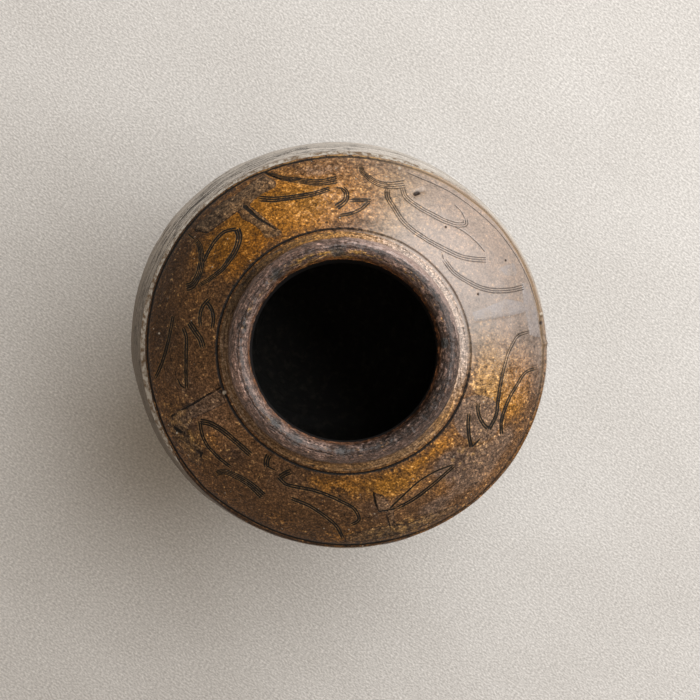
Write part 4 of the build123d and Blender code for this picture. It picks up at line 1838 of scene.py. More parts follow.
@dataclass
class Shoulder(Section):
    """The domed shoulder, with its rings, combing, lug scars and the glaze's hem over the body.

    A hem wave is its number of swings and its height, a drip its azimuth, half width and length,
    and a warm edge its azimuth, width and amount.
    """

    comb: CombWork
    steps: int = 480
    rows: int = 36
    under_rows: int = 7
    under_swell: float = 1.2
    fine_cuts: int = 3
    blemish_edge: float = 0.15
    inner_ring: float = 2.3
    outer_ring: float = 3.4
    ring_rows: tuple[float, ...] = (-1.3, -0.7, -0.35, 0.0, 0.35, 0.7, 1.3)
    ring_clear: float = 1.8
    ring_widths: Pair = (0.6, 0.8)
    ring_depth: float = 0.6
    wander_reach: float = 12.0
    wander_slack: float = 0.02
    comb_depth: float = 0.3
    glaze: float = 0.4
    hem: float = 2.5
    hem_rows: int = 7
    hem_tuck: float = 1.0
    hem_inset: float = 3.0
    hem_fall: float = 2.2
    hem_waves: Swell = ((7.0, 1.1), (23.0, 0.6))
    hem_full: float = 1.6
    drip_flat: float = 0.25
    drip_swell: float = 0.5
    drip_start: float = 3.0
    drip_grows: float = 10.0
    edge_slack: Pair = (1.0, 0.3)
    bare_azimuth: float = 137.0
    bare_fade: Pair = (70.0, 95.0)
    bare_reach: float = 1.5
    smoke_place: Pair = (333.0, 105.0)
    smoke_fade: Pair = (18.5, 16.0)
    swell: Swell = ((34.0, 1.1), (11.0, 0.3))
    swell_fade: float = 4.0
    swell_heights: Pair = (-1.0, 3.0)
    scar_height: float = 0.5
    scar_edge: float = 0.7
    scar_swell: Swell = ((5.0, 0.5),)
    shaded_crack_edge: Pair = (-0.4, 0.8)
    ring_wander: PolarPoints = ((0, 1.0), (30, 2.9), (45, 3.0), (78, 0.1), (105, 0.0), (135, 1.0),
                                (180, -1.4), (195, -1.3), (225, 1.3), (240, 0.4), (270, 1.8), (315, 2.1),
                                (330, 1.5))
    ring_drawn: PolarPoints = ((0, 0.5), (30, 0.3), (60, 0.45), (90, 0.9), (120, 0.97), (280, 0.97),
                               (300, 0.7), (345, 0.6))
    # Painted light and shade by side, over the glaze's own tone: brightness factors by azimuth.
    tones_and_shading: PolarPoints = ((12, 0.75), (45, 1.12), (75, 0.98), (92, 1.06), (118, 0.82), (137, 0.45),
                          (165, 0.74), (182, 0.72), (212, 1.15), (262, 0.68), (318, 1.1))
    drips: Track = ((232.0, 8.0, 2.6), (251.0, 5.0, 1.4), (284.0, 7.0, 5.0), (309.0, 6.0, 1.8),
                    (326.0, 6.0, 3.6), (355.0, 7.0, 2.0))
    warm_edges: Track = ((84.0, 26.0, 1.0), (292.0, 34.0, 0.7), (352.0, 30.0, 0.9))
    ringed: tuple[Patch, ...] = (
        Patch(286, 137, 34, 6, 1.2),
        Patch(208, 128, 20, 10, 0.9),
        Patch(316, 112, 26, 12, 0.8),
        Patch(200, 112, 12, 16, 0.6),
    )

    def outline(self) -> Outline:
        """Draw the section.

        Returns:
            The dome, the hem over the body, the joint and the underside.
        """
        form = self.form
        rings = [form.neck_foot_radius + self.inner_ring, form.break_radius - self.outer_ring]
        even = np.linspace(form.neck_foot_radius, form.break_radius, self.rows)
        clear = [radius for radius in even if min(abs(radius - ring) for ring in rings) > self.ring_clear]
        close = [ring + step for ring in rings for step in self.ring_rows]
        radii = sorted({round(float(radius), 3) for radius in clear + close})
        dome = [(radius, float(form.dome_height(radius))) for radius in radii]
        heights = [form.break_z - self.hem * row / self.hem_rows for row in range(1, self.hem_rows + 1)]
        hem = [(float(form.wall_radius(height)) + self.glaze, height) for height in heights]
        hem.append((float(form.wall_radius(heights[-1])) - self.hem_tuck, heights[-1]))
        joint_z = form.break_z - form.joint_bevel
        inner_radius = float(form.wall_radius(joint_z, form.wall))
        way_in = form.neck_foot_radius - form.throat_inset - inner_radius
        under = [(inner_radius, joint_z)]
        for share in np.linspace(0.0, 1.0, self.under_rows)[1:]:
            radius = inner_radius + way_in * share
            depth = form.wall - self.under_swell * math.sin(math.pi * share)
            height = form.dome_height(radius + form.throat_inset * (1 - share), depth)
            under.append((radius, float(height)))
        return dome + hem + under

    def build(self) -> None:
        """Model the shoulder, mark it, press its relief and dress it."""
        piece = Bench.spin("shoulder", self.outline(), self.steps)
        self._wander_ring(piece)
        places = Places(piece)
        outside = self._outside(places)
        fine = self.comb.read(places, outside)[2]
        for blemish in BLEMISHES:
            fine |= (blemish.read(places) > self.blemish_edge) & outside
        Bench.refine(piece, fine, self.fine_cuts)
        places = Places(piece)
        outside = self._outside(places)
        marks, depth, _ = self.comb.read(places, outside)
        rings = self._rings(places)
        scars = self._scars(places)
        # Painted light and shade, by side and in patches.
        shade = by_azimuth(places.azimuth, self.tones_and_shading) * np.exp(Tones.total(Tones.lit, places))
        Bench.mark(piece, Mark.THROWN, *places.spots.T)
        Bench.mark(piece, Mark.TONE, *[Tones.total(group, places) for group in Tones.washes])
        for layer, columns in enumerate(marks):
            Bench.mark(piece, f"{Mark.COMB}_{layer}", *columns.T)
        Bench.mark(piece, Mark.RING, *rings)
        Bench.mark(piece, Mark.SCAR, *scars)
        Bench.mark(piece, Mark.SPOT, *self._spots(places))
        Bench.mark(piece, Mark.EDGE, *self._edge_marks(places))
        blue = np.exp(Tones.total(Tones.blue, places))
        Bench.mark(piece, Mark.SHADE, by_azimuth(places.azimuth, self.ring_drawn), shade, blue)
        self._hang_hem(piece)
        self._press(piece, places, rings, scars, depth)
        self.paint(piece, AmberGlaze(len(self.comb.layers)).dress(), ~outside)
        nodes = ["shoulder_dome"] + sorted(name for name in frame["nodes"] if name.startswith("lug_root"))
        self.hand_over(piece, Slot.AMBER, *nodes)

    def _press(
        self, piece: Piece, places: Places, rings: Columns, scars: Columns, depth: np.ndarray
    ) -> None:
        """Press lumps, scars, blemishes, rings and the comb's grooves into the surface.

        Args:
            piece: The shoulder.
            places: Where its vertices were when it was marked.
            rings: Its ring marks.
            scars: Its scar marks.
            depth: How deep the comb's grooves are, from 0 to 1.
        """
        form = self.form
        outside = self._outside(places)
        away = smoothstep(form.neck_foot_radius, form.neck_foot_radius + self.swell_fade, places.radius)
        low, high = (form.break_z + height for height in self.swell_heights)
        Bench.lumps(piece, self.swell, away * outside * smoothstep(low, high, places.height))
        scar = (1.0 - smoothstep(-self.scar_edge, self.scar_edge, scars[0])) * outside
        Bench.press(piece, scar, self.scar_height)
        Bench.lumps(piece, self.scar_swell, scar)
        for blemish in BLEMISHES:
            Bench.press(piece, blemish.read(places) * outside, blemish.height)
        cut = 1.0 - smoothstep(*self.shaded_crack_edge, scars[1])
        for distance, width in zip(rings, self.ring_widths):
            cut = cut + np.exp(-((distance / width) ** 2))
        Bench.press(piece, np.clip(cut, 0, 1) * outside, -self.ring_depth)
        Bench.press(piece, depth * outside, -self.comb_depth)

    def _dome_height(self, radius: np.ndarray) -> np.ndarray:
        """Height of the dome at each radius, with the edge's height beyond it."""
        return self.form.dome_height(np.minimum(radius, self.form.break_radius))

    def _wander_ring(self, piece: Piece) -> None:
        """Let the rows at the outer ring wander in and out, as a line drawn by hand does.

        Args:
            piece: The shoulder, as it was spun.
        """
        places = Places(piece)
        on_dome = np.abs(places.height - self._dome_height(places.radius)) < self.wander_slack
        ring = self.form.break_radius - self.outer_ring
        knots = (ring - self.wander_reach, ring, self.form.break_radius)
        share = np.interp(places.radius, knots, (0.0, 1.0, 0.0)) * on_dome
        radius = places.radius + share * by_azimuth(places.azimuth, self.ring_wander)
        places.move(radius, np.where(share > 0.0, self._dome_height(radius), places.height))

    def _outside(self, places: Places) -> np.ndarray:
        """True for each vertex of the dome's outside and of the hem."""
        on_dome = places.height > self._dome_height(places.radius) - self.edge_slack[0]
        return on_dome | (places.radius > self.form.break_radius - self.edge_slack[1])

    def _past_ring(self, places: Places) -> np.ndarray:
        """Signed distance of each vertex outwards from the outer ring."""
        wander = by_azimuth(places.azimuth, self.ring_wander)
        return places.radius - self.form.break_radius + self.outer_ring - wander

    def _rings(self, places: Places) -> Columns:
        """Read the rings and the smoke.

        Args:
            places: The vertices.

        Returns:
            Signed distances to the inner and the outer ring, and how smoky the glaze is.
        """
        inner = places.radius - self.form.neck_foot_radius - self.inner_ring
        away = np.linalg.norm(places.spots[:, :2] - plan_points((self.smoke_place,))[0], axis=1)
        smoke = np.maximum(smoothstep(*self.smoke_fade, away), Tones.total(Tones.smoky, places))
        return inner, self._past_ring(places), smoke

    def _scars(self, places: Places) -> Columns:
        """Read the lug scars.

        Args:
            places: The vertices.

        Returns:
            Signed distance to the nearest scar's outline and to the nearest crack, which is painted black as
            shade, and how grey that scar is.
        """
        plan = places.spots[:, :2]
        edge = np.full(len(plan), FAR)
        shaded_crack = np.full(len(plan), FAR)
        grey = np.zeros(len(plan))
        for scar in SCARS:
            scar_edge, scar_shaded_crack = scar.read(plan)
            grey = np.where(scar_edge < edge, scar.greyness, grey)
            edge = np.minimum(edge, scar_edge)
            shaded_crack = np.minimum(shaded_crack, scar_shaded_crack)
        return edge, shaded_crack, grey

    def _spots(self, places: Places) -> Columns:
        """Read the blemishes and the ringed spots.

        Args:
            places: The vertices.

        Returns:
            How dark the blemishes make the glaze, with painted shade in and beside their hollows, how pale,
            with painted highlights on their lumps, and where it has ringed spots.
        """
        dark = sum(blemish.dark * blemish.read(places) for blemish in BLEMISHES)
        pale = sum(blemish.pale * blemish.read(places) for blemish in BLEMISHES)
        return dark, pale, Tones.total(self.ringed, places)

    def _edge_marks(self, places: Places) -> Columns:
        """Read the glaze's edge.

        Args:
            places: The vertices.

        Returns:
            How far past the edge each vertex is, how much pale haze and painted sheen it has, and how warm
            the edge runs.
        """
        form = self.form
        fallen = np.clip(form.break_z - places.height, 0.0, None)
        past_break = np.where(places.radius > form.break_radius - self.hem_inset, fallen, 0.0)
        bare_gap = np.abs(turn_gap(places.azimuth, self.bare_azimuth))
        bare_side = 1.0 - smoothstep(*self.bare_fade, bare_gap)
        wander = by_azimuth(places.azimuth, self.ring_wander)
        full_reach = self.outer_ring - wander + self.hem_full * self.hem
        reach = self.bare_reach * bare_side + full_reach * (1.0 - bare_side)
        warm = np.zeros(len(reach))
        for centre, width, amount in self.warm_edges:
            warm += amount * np.exp(-((turn_gap(places.azimuth, centre) / width) ** 2))
        past_edge = self._past_ring(places) + past_break - reach
        return past_edge, sheen(places.azimuth), np.clip(warm, 0.0, 1.0)

    def _hang_hem(self, piece: Piece) -> None:
        """Let the glaze's hem hang unevenly over the body, with shallow sags here and there.

        Args:
            piece: The shoulder.
        """
        form = self.form
        places = Places(piece)
        low = places.height < form.break_z - WELD
        on_hem = low & (places.radius > form.break_radius - self.hem_inset)
        share = (form.break_z - places.height[on_hem]) / self.hem
        fall = self._fall(places.azimuth[on_hem])
        stand = places.radius[on_hem] - form.wall_radius(places.height[on_hem])
        grown = np.clip((fall - self.drip_start) / self.drip_grows, 0.0, 1.0)
        swell = grown * share**2 * np.clip(stand / self.glaze, 0, 1) * self.drip_swell
        radius, height = places.radius.copy(), places.height.copy()
        height[on_hem] = form.break_z - share * fall
        radius[on_hem] = form.wall_radius(height[on_hem]) + stand + swell
        places.move(radius, height)

    def _fall(self, azimuth: np.ndarray) -> np.ndarray:
        """Work out how far the hem hangs.

        Args:
            azimuth: Where, in degrees.

        Returns:
            The falls, in millimetres.
        """
        fall = np.full(len(azimuth), self.hem_fall)
        for index, angle in enumerate(np.radians(azimuth)):
            ring = Vector((math.cos(angle), math.sin(angle), 0.0))
            for swings, height in self.hem_waves:
                fall[index] += height * noise.noise(ring * swings)
        for centre, half_width, length in self.drips:
            share = np.abs(turn_gap(azimuth, centre)) / half_width
            fall += length * (1.0 - smoothstep(self.drip_flat, 1.0, share))
        return fall


@dataclass
class Body(Section):
    """The bare body wall, from the slab to the shoulder, with wheel marks outside and inside.

    A mark wave is its spacing as a share of the marks' own, its row of the noise and its strength.
    A score is a gouge's corners, each an azimuth, a height and a half width.
    """

    steps: int = 400
    rows: int = 118
    inner_rows: int = 34
    mark_spacing: float = 8.5
    mark_height: float = 0.75
    mark_fade: float = 6.0
    mark_waves: Track = ((1.0, 3.7, 1.0), (0.3, 9.1, 0.35))
    inner_pace: float = 0.6
    swell: Swell = ((70.0, 2.6), (17.0, 0.6))
    swell_fades: Pair = (8.0, 8.0)
    scores: tuple[Track, ...] = (
        ((115, 216, 0.5), (121, 212, 1.6), (127, 208, 1.0)),
        ((129, 246, 0.6), (133, 244, 3.0), (137, 241, 2.4), (143, 240, 0.8), (151, 240, 1.0),
         (158, 243, 0.3)),
        ((104, 247, 0.3), (113, 243, 1.0), (120, 240, 0.9), (127, 240, 0.4)),
        ((142, 221, 0.3), (148, 218, 1.6), (155, 216, 0.3)),
        ((160, 236, 0.3), (168, 238, 1.0), (176, 237, 0.3)),
        ((98, 236, 0.2), (106, 234, 0.7), (116, 233, 0.9), (124, 231, 0.3)),
        ((108, 226, 0.2), (114, 224, 1.0), (121, 226, 0.5), (128, 224, 1.1), (136, 227, 0.3)),
        ((128, 234, 0.2), (135, 232, 0.8), (146, 233, 0.4), (154, 231, 0.7), (160, 230, 0.1)),
    )

    def outline(self) -> Outline:
        """Draw the section.

        Returns:
            The outside upwards, the joint and the inside downwards.
        """
        form = self.form
        section = []
        for height in np.linspace(form.slab_top, form.break_z, self.rows):
            radius = float(form.wall_radius(height)) + self._wheel_mark(height)
            section.append((radius, float(height)))
        for height in np.linspace(form.break_z - form.joint_bevel, form.slab_top, self.inner_rows):
            radius = float(form.wall_radius(height, form.wall)) + self._wheel_mark(height * self.inner_pace)
            section.append((radius, float(height)))
        return section

    def _wheel_mark(self, height: float) -> float:
        """Work out how far the potter's fingers pushed the wall out.

        Args:
            height: Where, in millimetres.

        Returns:
            The push outwards, in millimetres.
        """
        from_end = min(height - self.form.slab_top, self.form.break_z - height)
        fade = max(0.0, min(1.0, from_end / self.mark_fade))
        push = 0.0
        for spacing, row, strength in self.mark_waves:
            push += strength * noise.noise(Vector((height / (self.mark_spacing * spacing), row, 0.0)))
        return fade * self.mark_height * push

    def build(self) -> None:
        """Model the body and dress it."""
        form = self.form
        piece, places = self.throw("body_wall", self.outline(), self.steps)
        Bench.mark(piece, Mark.SCORE, self._scored(places))
        wall_radius = form.wall_radius(np.clip(places.height, 0, form.break_z))
        Bench.lumps(piece, self.swell, plateau(form.slab_top, form.break_z, self.swell_fades, places.height))
        self.paint(piece, BareStoneware(form).dress(), places.radius < wall_radius - form.wall / 2)
        self.hand_over(piece, Slot.STONEWARE, "lower_wall", "lower_belly", "upper_belly")

    def _scored(self, places: Places) -> np.ndarray:
        """Read the gouges round the upper wall.

        Args:
            places: The vertices.

        Returns:
            Distance to the nearest gouge, less its half width.
        """
        girth = self.form.girth_radius
        unrolled = np.stack([np.radians(places.azimuth) * girth, places.height], axis=1)
        gap = np.full(len(unrolled), FAR)
        for track in self.scores:
            azimuths, heights, halves = np.array(track, dtype=float).T
            corners = np.stack([np.radians(azimuths) * girth, heights], axis=1)
            gap = np.minimum(gap, gap_to_path(unrolled, corners, halves))
        return gap


@dataclass
class Foot(Section):
    """The slab that the jar stands on, and the coil smeared into the corner over it."""

    steps: int = 240
    edge_round: float = 3.0
    edge_steps: int = 4
    edge_lean: float = 0.3
    hollow: float = 0.9
    hollow_inset: float = 14.0
    hollow_rows: int = 12
    flat_inset: float = 9.0
    side_rows: int = 6
    side_start: float = 1.5
    top_rows: int = 14
    top_inset: float = 2.0
    inside_inset: float = 1.0
    swell: Swell = ((22.0, 1.0),)
    swell_start: float = 0.3
    swell_fades: Pair = (1.2, 4.0)
    coil: float = 10.0
    coil_rows: int = 9
    coil_hollow: float = 2.0
    coil_lean: float = 0.7
    coil_back: float = 0.5
    coil_sink: float = 0.2
    coil_lift: float = 0.1
    coil_swell: Swell = ((12.0, 1.6),)
    coil_fade: float = 2.0

    def build_slab(self) -> None:
        """Model the slab, a little hollow underneath from drying, and dress it."""
        form = self.form
        corner = float(form.wall_radius(0.0))
        hollow_radius = corner - self.hollow_inset
        section = []
        for radius in np.linspace(0, hollow_radius, self.hollow_rows):
            section.append((radius, self.hollow * (1 - (radius / hollow_radius) ** 2)))
        section += [(corner - self.flat_inset, 0.0), (corner - self.edge_round, 0.0)]
        for step in range(1, self.edge_steps + 1):
            angle = math.radians(90 * step / self.edge_steps)
            height = self.edge_round * (1 - math.cos(angle))
            radius = corner - self.edge_round * (1 - math.sin(angle)) + height * self.edge_lean
            section.append((radius, height))
        for height in np.linspace(self.edge_round + self.side_start, form.slab_top, self.side_rows):
            section.append((float(form.wall_radius(height)), float(height)))
        for radius in np.linspace(form.slab_radius - self.top_inset, 0.0, self.top_rows):
            section.append((radius, form.slab_top))
        piece, places = self.throw("foot_slab", section, self.steps)
        Bench.mark(piece, Mark.SCORE, np.full(len(places.radius), FAR))
        on_top = places.height > form.slab_top - WELD
        loose = plateau(self.swell_start, form.slab_top, self.swell_fades, places.height)
        Bench.lumps(piece, self.swell, loose)
        inside = on_top & (places.radius < form.slab_radius - self.inside_inset)
        self.paint(piece, BareStoneware(form).dress(), inside)
        self.hand_over(piece, Slot.STONEWARE, "base_disc")

    def build_coil(self) -> None:
        """Model the coil, pressed in by fingers, and dress it."""
        form = self.form
        base = form.slab_top
        wall_foot = float(form.wall_radius(base, form.wall))
        top = float(form.wall_radius(base + self.coil, form.wall))
        section = [(wall_foot + self.coil_back, base - self.coil_sink)]
        section.append((top + self.coil_back, base + self.coil))
        for share in np.linspace(0.0, 1.0, self.coil_rows):
            dent = self.coil_hollow * math.sin(math.pi * share) * self.coil_lean
            radius = top + (wall_foot - self.coil - top) * share + dent
            section.append((radius, base + self.coil * (1 - share) - dent + self.coil_lift))
        section.append((wall_foot - self.coil, base - self.coil_sink))
        piece, places = self.throw("inner_coil", section, self.steps)
        Bench.lumps(piece, self.coil_swell, smoothstep(base, base + self.coil_fade, places.height))
        piece.data.materials.append(DarkInside(form.neck_foot_z).dress())
        self.hand_over(piece, Slot.STONEWARE, "corner_coil")


@dataclass
class Neck(Section):
    """The short neck: a hollow cove with wheel ridges outside and the jar's bore inside."""

    steps: int = 480
    rows: int = 30
    ridges: float = 5.5
    ridge_height: float = 0.28
    flare: float = 9.0
    bore_inset: float = 2.0
    throat: Swell = ((0.0, 7.5), (1.2, 5.3), (4.0, 3.9))
    inner_edge: float = 4.5
    sheen_turn: float = 10.0
    swell: Swell = ((9.0, 0.7), (2.5, 0.3))
    swell_fades: Pair = (2.0, 1.5)
    # Painted light and shade by side, over the glaze's own tone: brightness factors by azimuth.
    tones_and_shading: PolarPoints = ((5, 0.85), (40, 1.12), (95, 1.22), (140, 0.24), (157, 0.38), (200, 1.6),
                          (290, 1.0), (338, 1.55))
    ashen: PolarPoints = ((120, 0.0), (175, 0.7), (215, 0.9), (255, 0.2), (305, 0.5), (340, 0.0))
    golden: PolarPoints = ((60, 0.0), (80, 0.9), (105, 0.9), (130, 0.1), (250, 0.0), (278, 0.2),
                           (310, 0.0))

    def outline(self) -> Outline:
        """Draw the section.

        Returns:
            The cove upwards, the bore downwards and the throat under the shoulder.
        """
        form = self.form
        section = []
        for share in np.linspace(0.0, 1.0, self.rows):
            angle = share * math.pi / 2
            ridge = self.ridge_height * math.sin(share * self.ridges * FULL_TURN) * math.sin(share * math.pi)
            radius = form.neck_foot_radius - (self.flare - ridge) * math.sin(angle)
            rise = form.neck_top_z - form.neck_foot_z - ridge
            section.append((radius, form.neck_top_z - rise * math.cos(angle)))
        underside = float(form.dome_height(form.neck_foot_radius, form.wall))
        section.append((form.mouth_radius, form.neck_top_z - self.bore_inset))
        section += [(form.mouth_radius + out, underside + lift) for out, lift in self.throat]
        section.append((form.neck_foot_radius - form.throat_inset, underside))
        return section

    def build(self) -> None:
        """Model the neck and dress it."""
        form = self.form
        piece, places = self.throw("neck", self.outline(), self.steps)
        # Painted light and shade by side, and below it the pale haze and painted sheen.
        shade = by_azimuth(places.azimuth, self.tones_and_shading)
        Bench.mark(piece, Mark.EDGE, sheen(places.azimuth + self.sheen_turn), places.radius, shade)
        ashen, golden = (by_azimuth(places.azimuth, keys) for keys in (self.ashen, self.golden))
        Bench.mark(piece, Mark.SHADE, ashen, golden)
        inner = places.radius < form.mouth_radius + self.inner_edge
        free = plateau(form.neck_foot_z, form.neck_top_z, self.swell_fades, places.height)
        Bench.lumps(piece, self.swell, free * ~inner)
        self.paint(piece, NeckGlaze(form).dress(), inner)
        self.hand_over(piece, Slot.AMBER, "neck_collar")


@dataclass
class Rim(Section):
    """The rolled rim, lumpy where the thick glaze crawled and blistered.

    Its fades are distances outwards from the roll's crest, from where a look starts to where it
    is full.
    """

    steps: int = 560
    funnel: float = 1.6
    tuck: float = 3.6
    neck_inset: float = 3.0
    quarter_rows: int = 14
    joint_inset: float = 2.0
    bore_rows: int = 5
    swell: Swell = ((26.0, 1.3), (5.5, 0.8), (2.2, 0.5))
    swell_fade: float = 2.0
    sheen_turn: float = -10.0
    # Where the pale haze and painted sheen on the outer flank start, by azimuth.
    haze_and_sheen_inset: float = 1.6
    haze_and_sheen_lean: float = 0.02
    haze_and_sheen_azimuth: float = 60.0
    haze_and_sheen_fade: Pair = (0.0, 3.0)
    # Painted shade on the inner half of the roll, on the side away from the light.
    shaded_inner_azimuth: float = 340.0
    shaded_inner_spread: Pair = (85.0, 45.0)
    shaded_inner_fade: Pair = (3.0, -1.5)
    outward_fade: Pair = (-2.0, 1.5)
    pale_and_lit_lip_fade: Pair = (-1.5, -3.5)
    inside_slack: Pair = (0.3, 0.5)
    golden_sides: PolarPoints = ((0, 0.2), (60, 0.4), (85, 0.85), (110, 0.8), (175, 0.25), (300, 0.25))
    rusty_sides: PolarPoints = ((0, 0.2), (25, 0.7), (60, 1.0), (85, 0.6), (110, 0.2), (140, 0.1),
                                (300, 0.1))
    # The pale lip inside the crest, partly a painted highlight where it faces the light.
    pale_and_lit_lip_sides: PolarPoints = ((60, 0.0), (110, 0.3), (175, 1.0), (225, 1.0), (255, 0.6), (345, 0.5),
                             (20, 0.1))
    # Painted light and shade by side, over the glaze's own tone, inside and outside the crest; the outer
    # keys hold a painted highlight at azimuth 195.
    inner_tones_and_shading: PolarPoints = ((18, 1.35), (75, 1.05), (92, 1.5), (125, 0.64), (195, 0.56), (243, 0.78),
                                (300, 0.46), (334, 0.42), (348, 1.25))
    outer_tones_and_shading: PolarPoints = ((30, 0.6), (130, 1.18), (152, 0.88), (180, 1.05), (195, 2.0), (212, 1.1),
                                (240, 1.38), (278, 1.06), (318, 0.56))

    def outline(self) -> Outline:
        """Draw the section.

        Returns:
            The roll, from its joint with the neck over its crest, and the bore downwards.
        """
        form = self.form
        waist = form.neck_top_z + self.tuck
        neck_radius = form.rim_radius - self.neck_inset
        crest = form.crest_radius
        quarters = (
            (neck_radius, self.neck_inset, self.tuck, -90),
            (crest, form.rim_radius - crest, form.rim_top_z - waist, 0),
            (crest, form.crest_inset - self.funnel, form.rim_top_z - waist, 90),
        )
        section = []
        for centre, width, height, start in quarters:
            for step in range(self.quarter_rows):
                angle = math.radians(start + 90 * step / self.quarter_rows)
                section.append((centre + width * math.cos(angle), waist + height * math.sin(angle)))
        joint = form.neck_top_z - self.joint_inset
        for share in np.linspace(0.0, 1.0, self.bore_rows):
            radius = form.mouth_radius + self.funnel * (1 - share) ** 2
            section.append((radius, waist + (joint - waist) * float(share)))
        return section

    def build(self) -> None:
        """Model the rim and dress it."""
        form = self.form
        piece, places = self.throw("rim", self.outline(), self.steps)
        fade = smoothstep(form.neck_top_z, form.neck_top_z + self.swell_fade, places.height)
        Bench.lumps(piece, self.swell, fade)
        azimuth = places.azimuth
        out = places.radius - form.crest_radius
        outward = smoothstep(*self.outward_fade, out)
        golden, rusty, inner_tone_and_shading = (
            by_azimuth(azimuth, keys) * (1.0 - outward)
            for keys in (self.golden_sides, self.rusty_sides, self.inner_tones_and_shading)
        )
        pale_and_lit_lip = by_azimuth(azimuth, self.pale_and_lit_lip_sides) * smoothstep(*self.pale_and_lit_lip_fade, out)
        # Painted light and shade by side, inside and outside the crest.
        shade = inner_tone_and_shading + by_azimuth(azimuth, self.outer_tones_and_shading) * outward
        # The pale haze and painted sheen on the outer flank towards the light.
        past = out - self.haze_and_sheen_inset - self.haze_and_sheen_lean * turn_gap(self.haze_and_sheen_azimuth, azimuth)
        haze_and_sheen_side = sheen(azimuth + self.sheen_turn) * smoothstep(*self.haze_and_sheen_fade, past)
        # Painted shade on the inner half, away from the light.
        shaded_inner = smoothstep(*self.shaded_inner_spread, np.abs(turn_gap(azimuth, self.shaded_inner_azimuth)))
        Bench.mark(piece, Mark.SHADE, golden, pale_and_lit_lip, shade)
        Bench.mark(piece, Mark.EDGE, haze_and_sheen_side, places.radius, shaded_inner * smoothstep(*self.shaded_inner_fade, out))
        Bench.mark(piece, Mark.TONE, rusty)
        below, beyond = self.inside_slack
        inside = places.height < form.neck_top_z + self.tuck - below
        inside &= places.radius < form.mouth_radius + self.funnel + beyond
        self.paint(piece, RimGlaze(form).dress(), inside)
        self.hand_over(piece, Slot.RIM, "rim_roll")


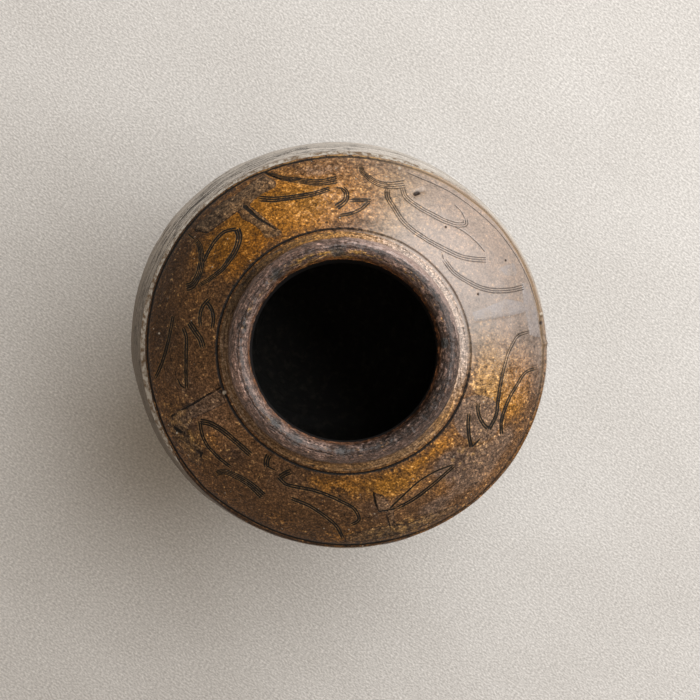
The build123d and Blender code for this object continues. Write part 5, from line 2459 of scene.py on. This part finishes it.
@dataclass(frozen=True)
class Studio:
    """The pale floor, the soft light and the camera above the jar."""

    floor_size: float = 60.0
    lens: float = 85.0
    sensor: float = 36.0
    camera_height: float = 1.4695
    camera_offset: float = 0.094
    camera_azimuth: float = 130.0
    aim: tuple[float, float, float] = (0.0031, 0.0019, 0.3216)
    pan: tuple[float, float, float] = (-0.0010, 0.0018, 0.0)
    light_azimuth: float = 36.0
    light_elevation: float = 49.0
    light_distance: float = 2.2
    light_width: float = 2.9
    light_height: float = 2.4
    light_watts: float = 83.5
    ambient: Colour = (0.350, 0.290, 0.228)
    backdrop: Colour = (0.225, 0.190, 0.150)
    floor_dim: Colour = (0.512, 0.498, 0.479)
    floor_pale: Colour = (0.552, 0.540, 0.523)
    stroke_turn: float = -0.6
    stroke_scale: tuple[float, float, float] = (0.0014, 0.0009, 0.001)
    patterns: Track = ((120.0, 4.0, 0.55), (9.0, 3.0, 0.6), (1.7, 1.0, 0.5))

    def floor(self) -> None:
        """Lay a finely textured pale floor under the jar."""
        bpy.ops.object.select_all(action="DESELECT")
        bpy.ops.mesh.primitive_plane_add(size=self.floor_size)
        piece = bpy.context.object
        piece.name = "floor"
        shader = Shader("plaster_floor", self.floor_dim)
        coordinates = shader.node("ShaderNodeTexCoord", out="Object")
        feeds = {"Vector": coordinates, "Rotation": (0.0, 0.0, self.stroke_turn), "Scale": self.stroke_scale}
        place = shader.node("ShaderNodeMapping", {"vector_type": "TEXTURE"}, feeds)
        cloud, blot, grain = shader.swings(place, self.patterns)
        shader.lay(self.floor_pale, shader.rise(cloud + blot * 0.2, -1.0, 1.0))
        shader.grain(grain * 0.55 + blot * 0.03, 1.5)
        shader.wear(Base_Color=shader.colour, Roughness=0.8, Normal=shader.bump(grain * 0.09 + blot * 0.03))
        piece.data.materials.append(shader.material)

    def light(self) -> None:
        """Hang one wide soft light and fill the room with a little even light."""
        bpy.ops.object.select_all(action="DESELECT")
        turn, lift = math.radians(self.light_azimuth), math.radians(self.light_elevation)
        way = Vector((math.cos(lift) * math.cos(turn), math.cos(lift) * math.sin(turn), math.sin(lift)))
        place = way * self.light_distance
        bpy.ops.object.light_add(type="AREA", location=place)
        lamp = bpy.context.object
        lamp.rotation_euler = way.to_track_quat("Z", "Y").to_euler()
        lamp.data.shape = "RECTANGLE"
        lamp.data.size = self.light_width
        lamp.data.size_y = self.light_height
        lamp.data.energy = self.light_watts
        lamp.visible_camera = False
        world = bpy.data.worlds.new("room")
        world.use_nodes = True
        nodes = world.node_tree.nodes
        paths = nodes.new("ShaderNodeLightPath")
        mix = nodes.new("ShaderNodeMix")
        mix.data_type = "RGBA"
        mix.inputs[6].default_value = (*self.ambient, 1.0)
        mix.inputs[7].default_value = (*self.backdrop, 1.0)
        world.node_tree.links.new(paths.outputs["Is Camera Ray"], mix.inputs[0])
        world.node_tree.links.new(mix.outputs[2], nodes["Background"].inputs["Color"])
        bpy.context.scene.world = world

    def camera(self) -> None:
        """Set the camera over the jar, a little to its upper left, with the picture's top towards +Y."""
        bpy.ops.object.select_all(action="DESELECT")
        turn = math.radians(self.camera_azimuth)
        side = Vector((math.cos(turn), math.sin(turn), 0.0)) * self.camera_offset
        place = side + Vector(self.pan) + Vector((0.0, 0.0, self.camera_height))
        bpy.ops.object.camera_add(location=place)
        camera = bpy.context.object
        back = (place - Vector(self.aim)).normalized()
        right = Vector((0.0, 1.0, 0.0)).cross(back).normalized()
        up = back.cross(right)
        camera.matrix_world = Matrix.Translation(place) @ Matrix((right, up, back)).transposed().to_4x4()
        camera.data.lens = self.lens
        camera.data.sensor_width = self.sensor
        bpy.context.scene.camera = camera


def main() -> None:
    """Build the jar, section by section, and the studio round it."""
    logging.basicConfig(level=logging.INFO, format="%(message)s")
    form = JarForm.from_frame()
    cage = Warp(form.rim_top_z + WARP_HEADROOM).lattice()
    foot = Foot(form, cage)
    foot.build_slab()
    foot.build_coil()
    Body(form, cage).build()
    Shoulder(form, cage, CombWork(TENDRILS)).build()
    Neck(form, cage).build()
    Rim(form, cage).build()
    bpy.data.objects.remove(cage)
    studio = Studio()
    studio.floor()
    studio.light()
    studio.camera()
    bpy.context.scene.view_settings.view_transform = "Standard"
    bpy.context.view_layer.update()


if __name__ == "__main__":
    main()
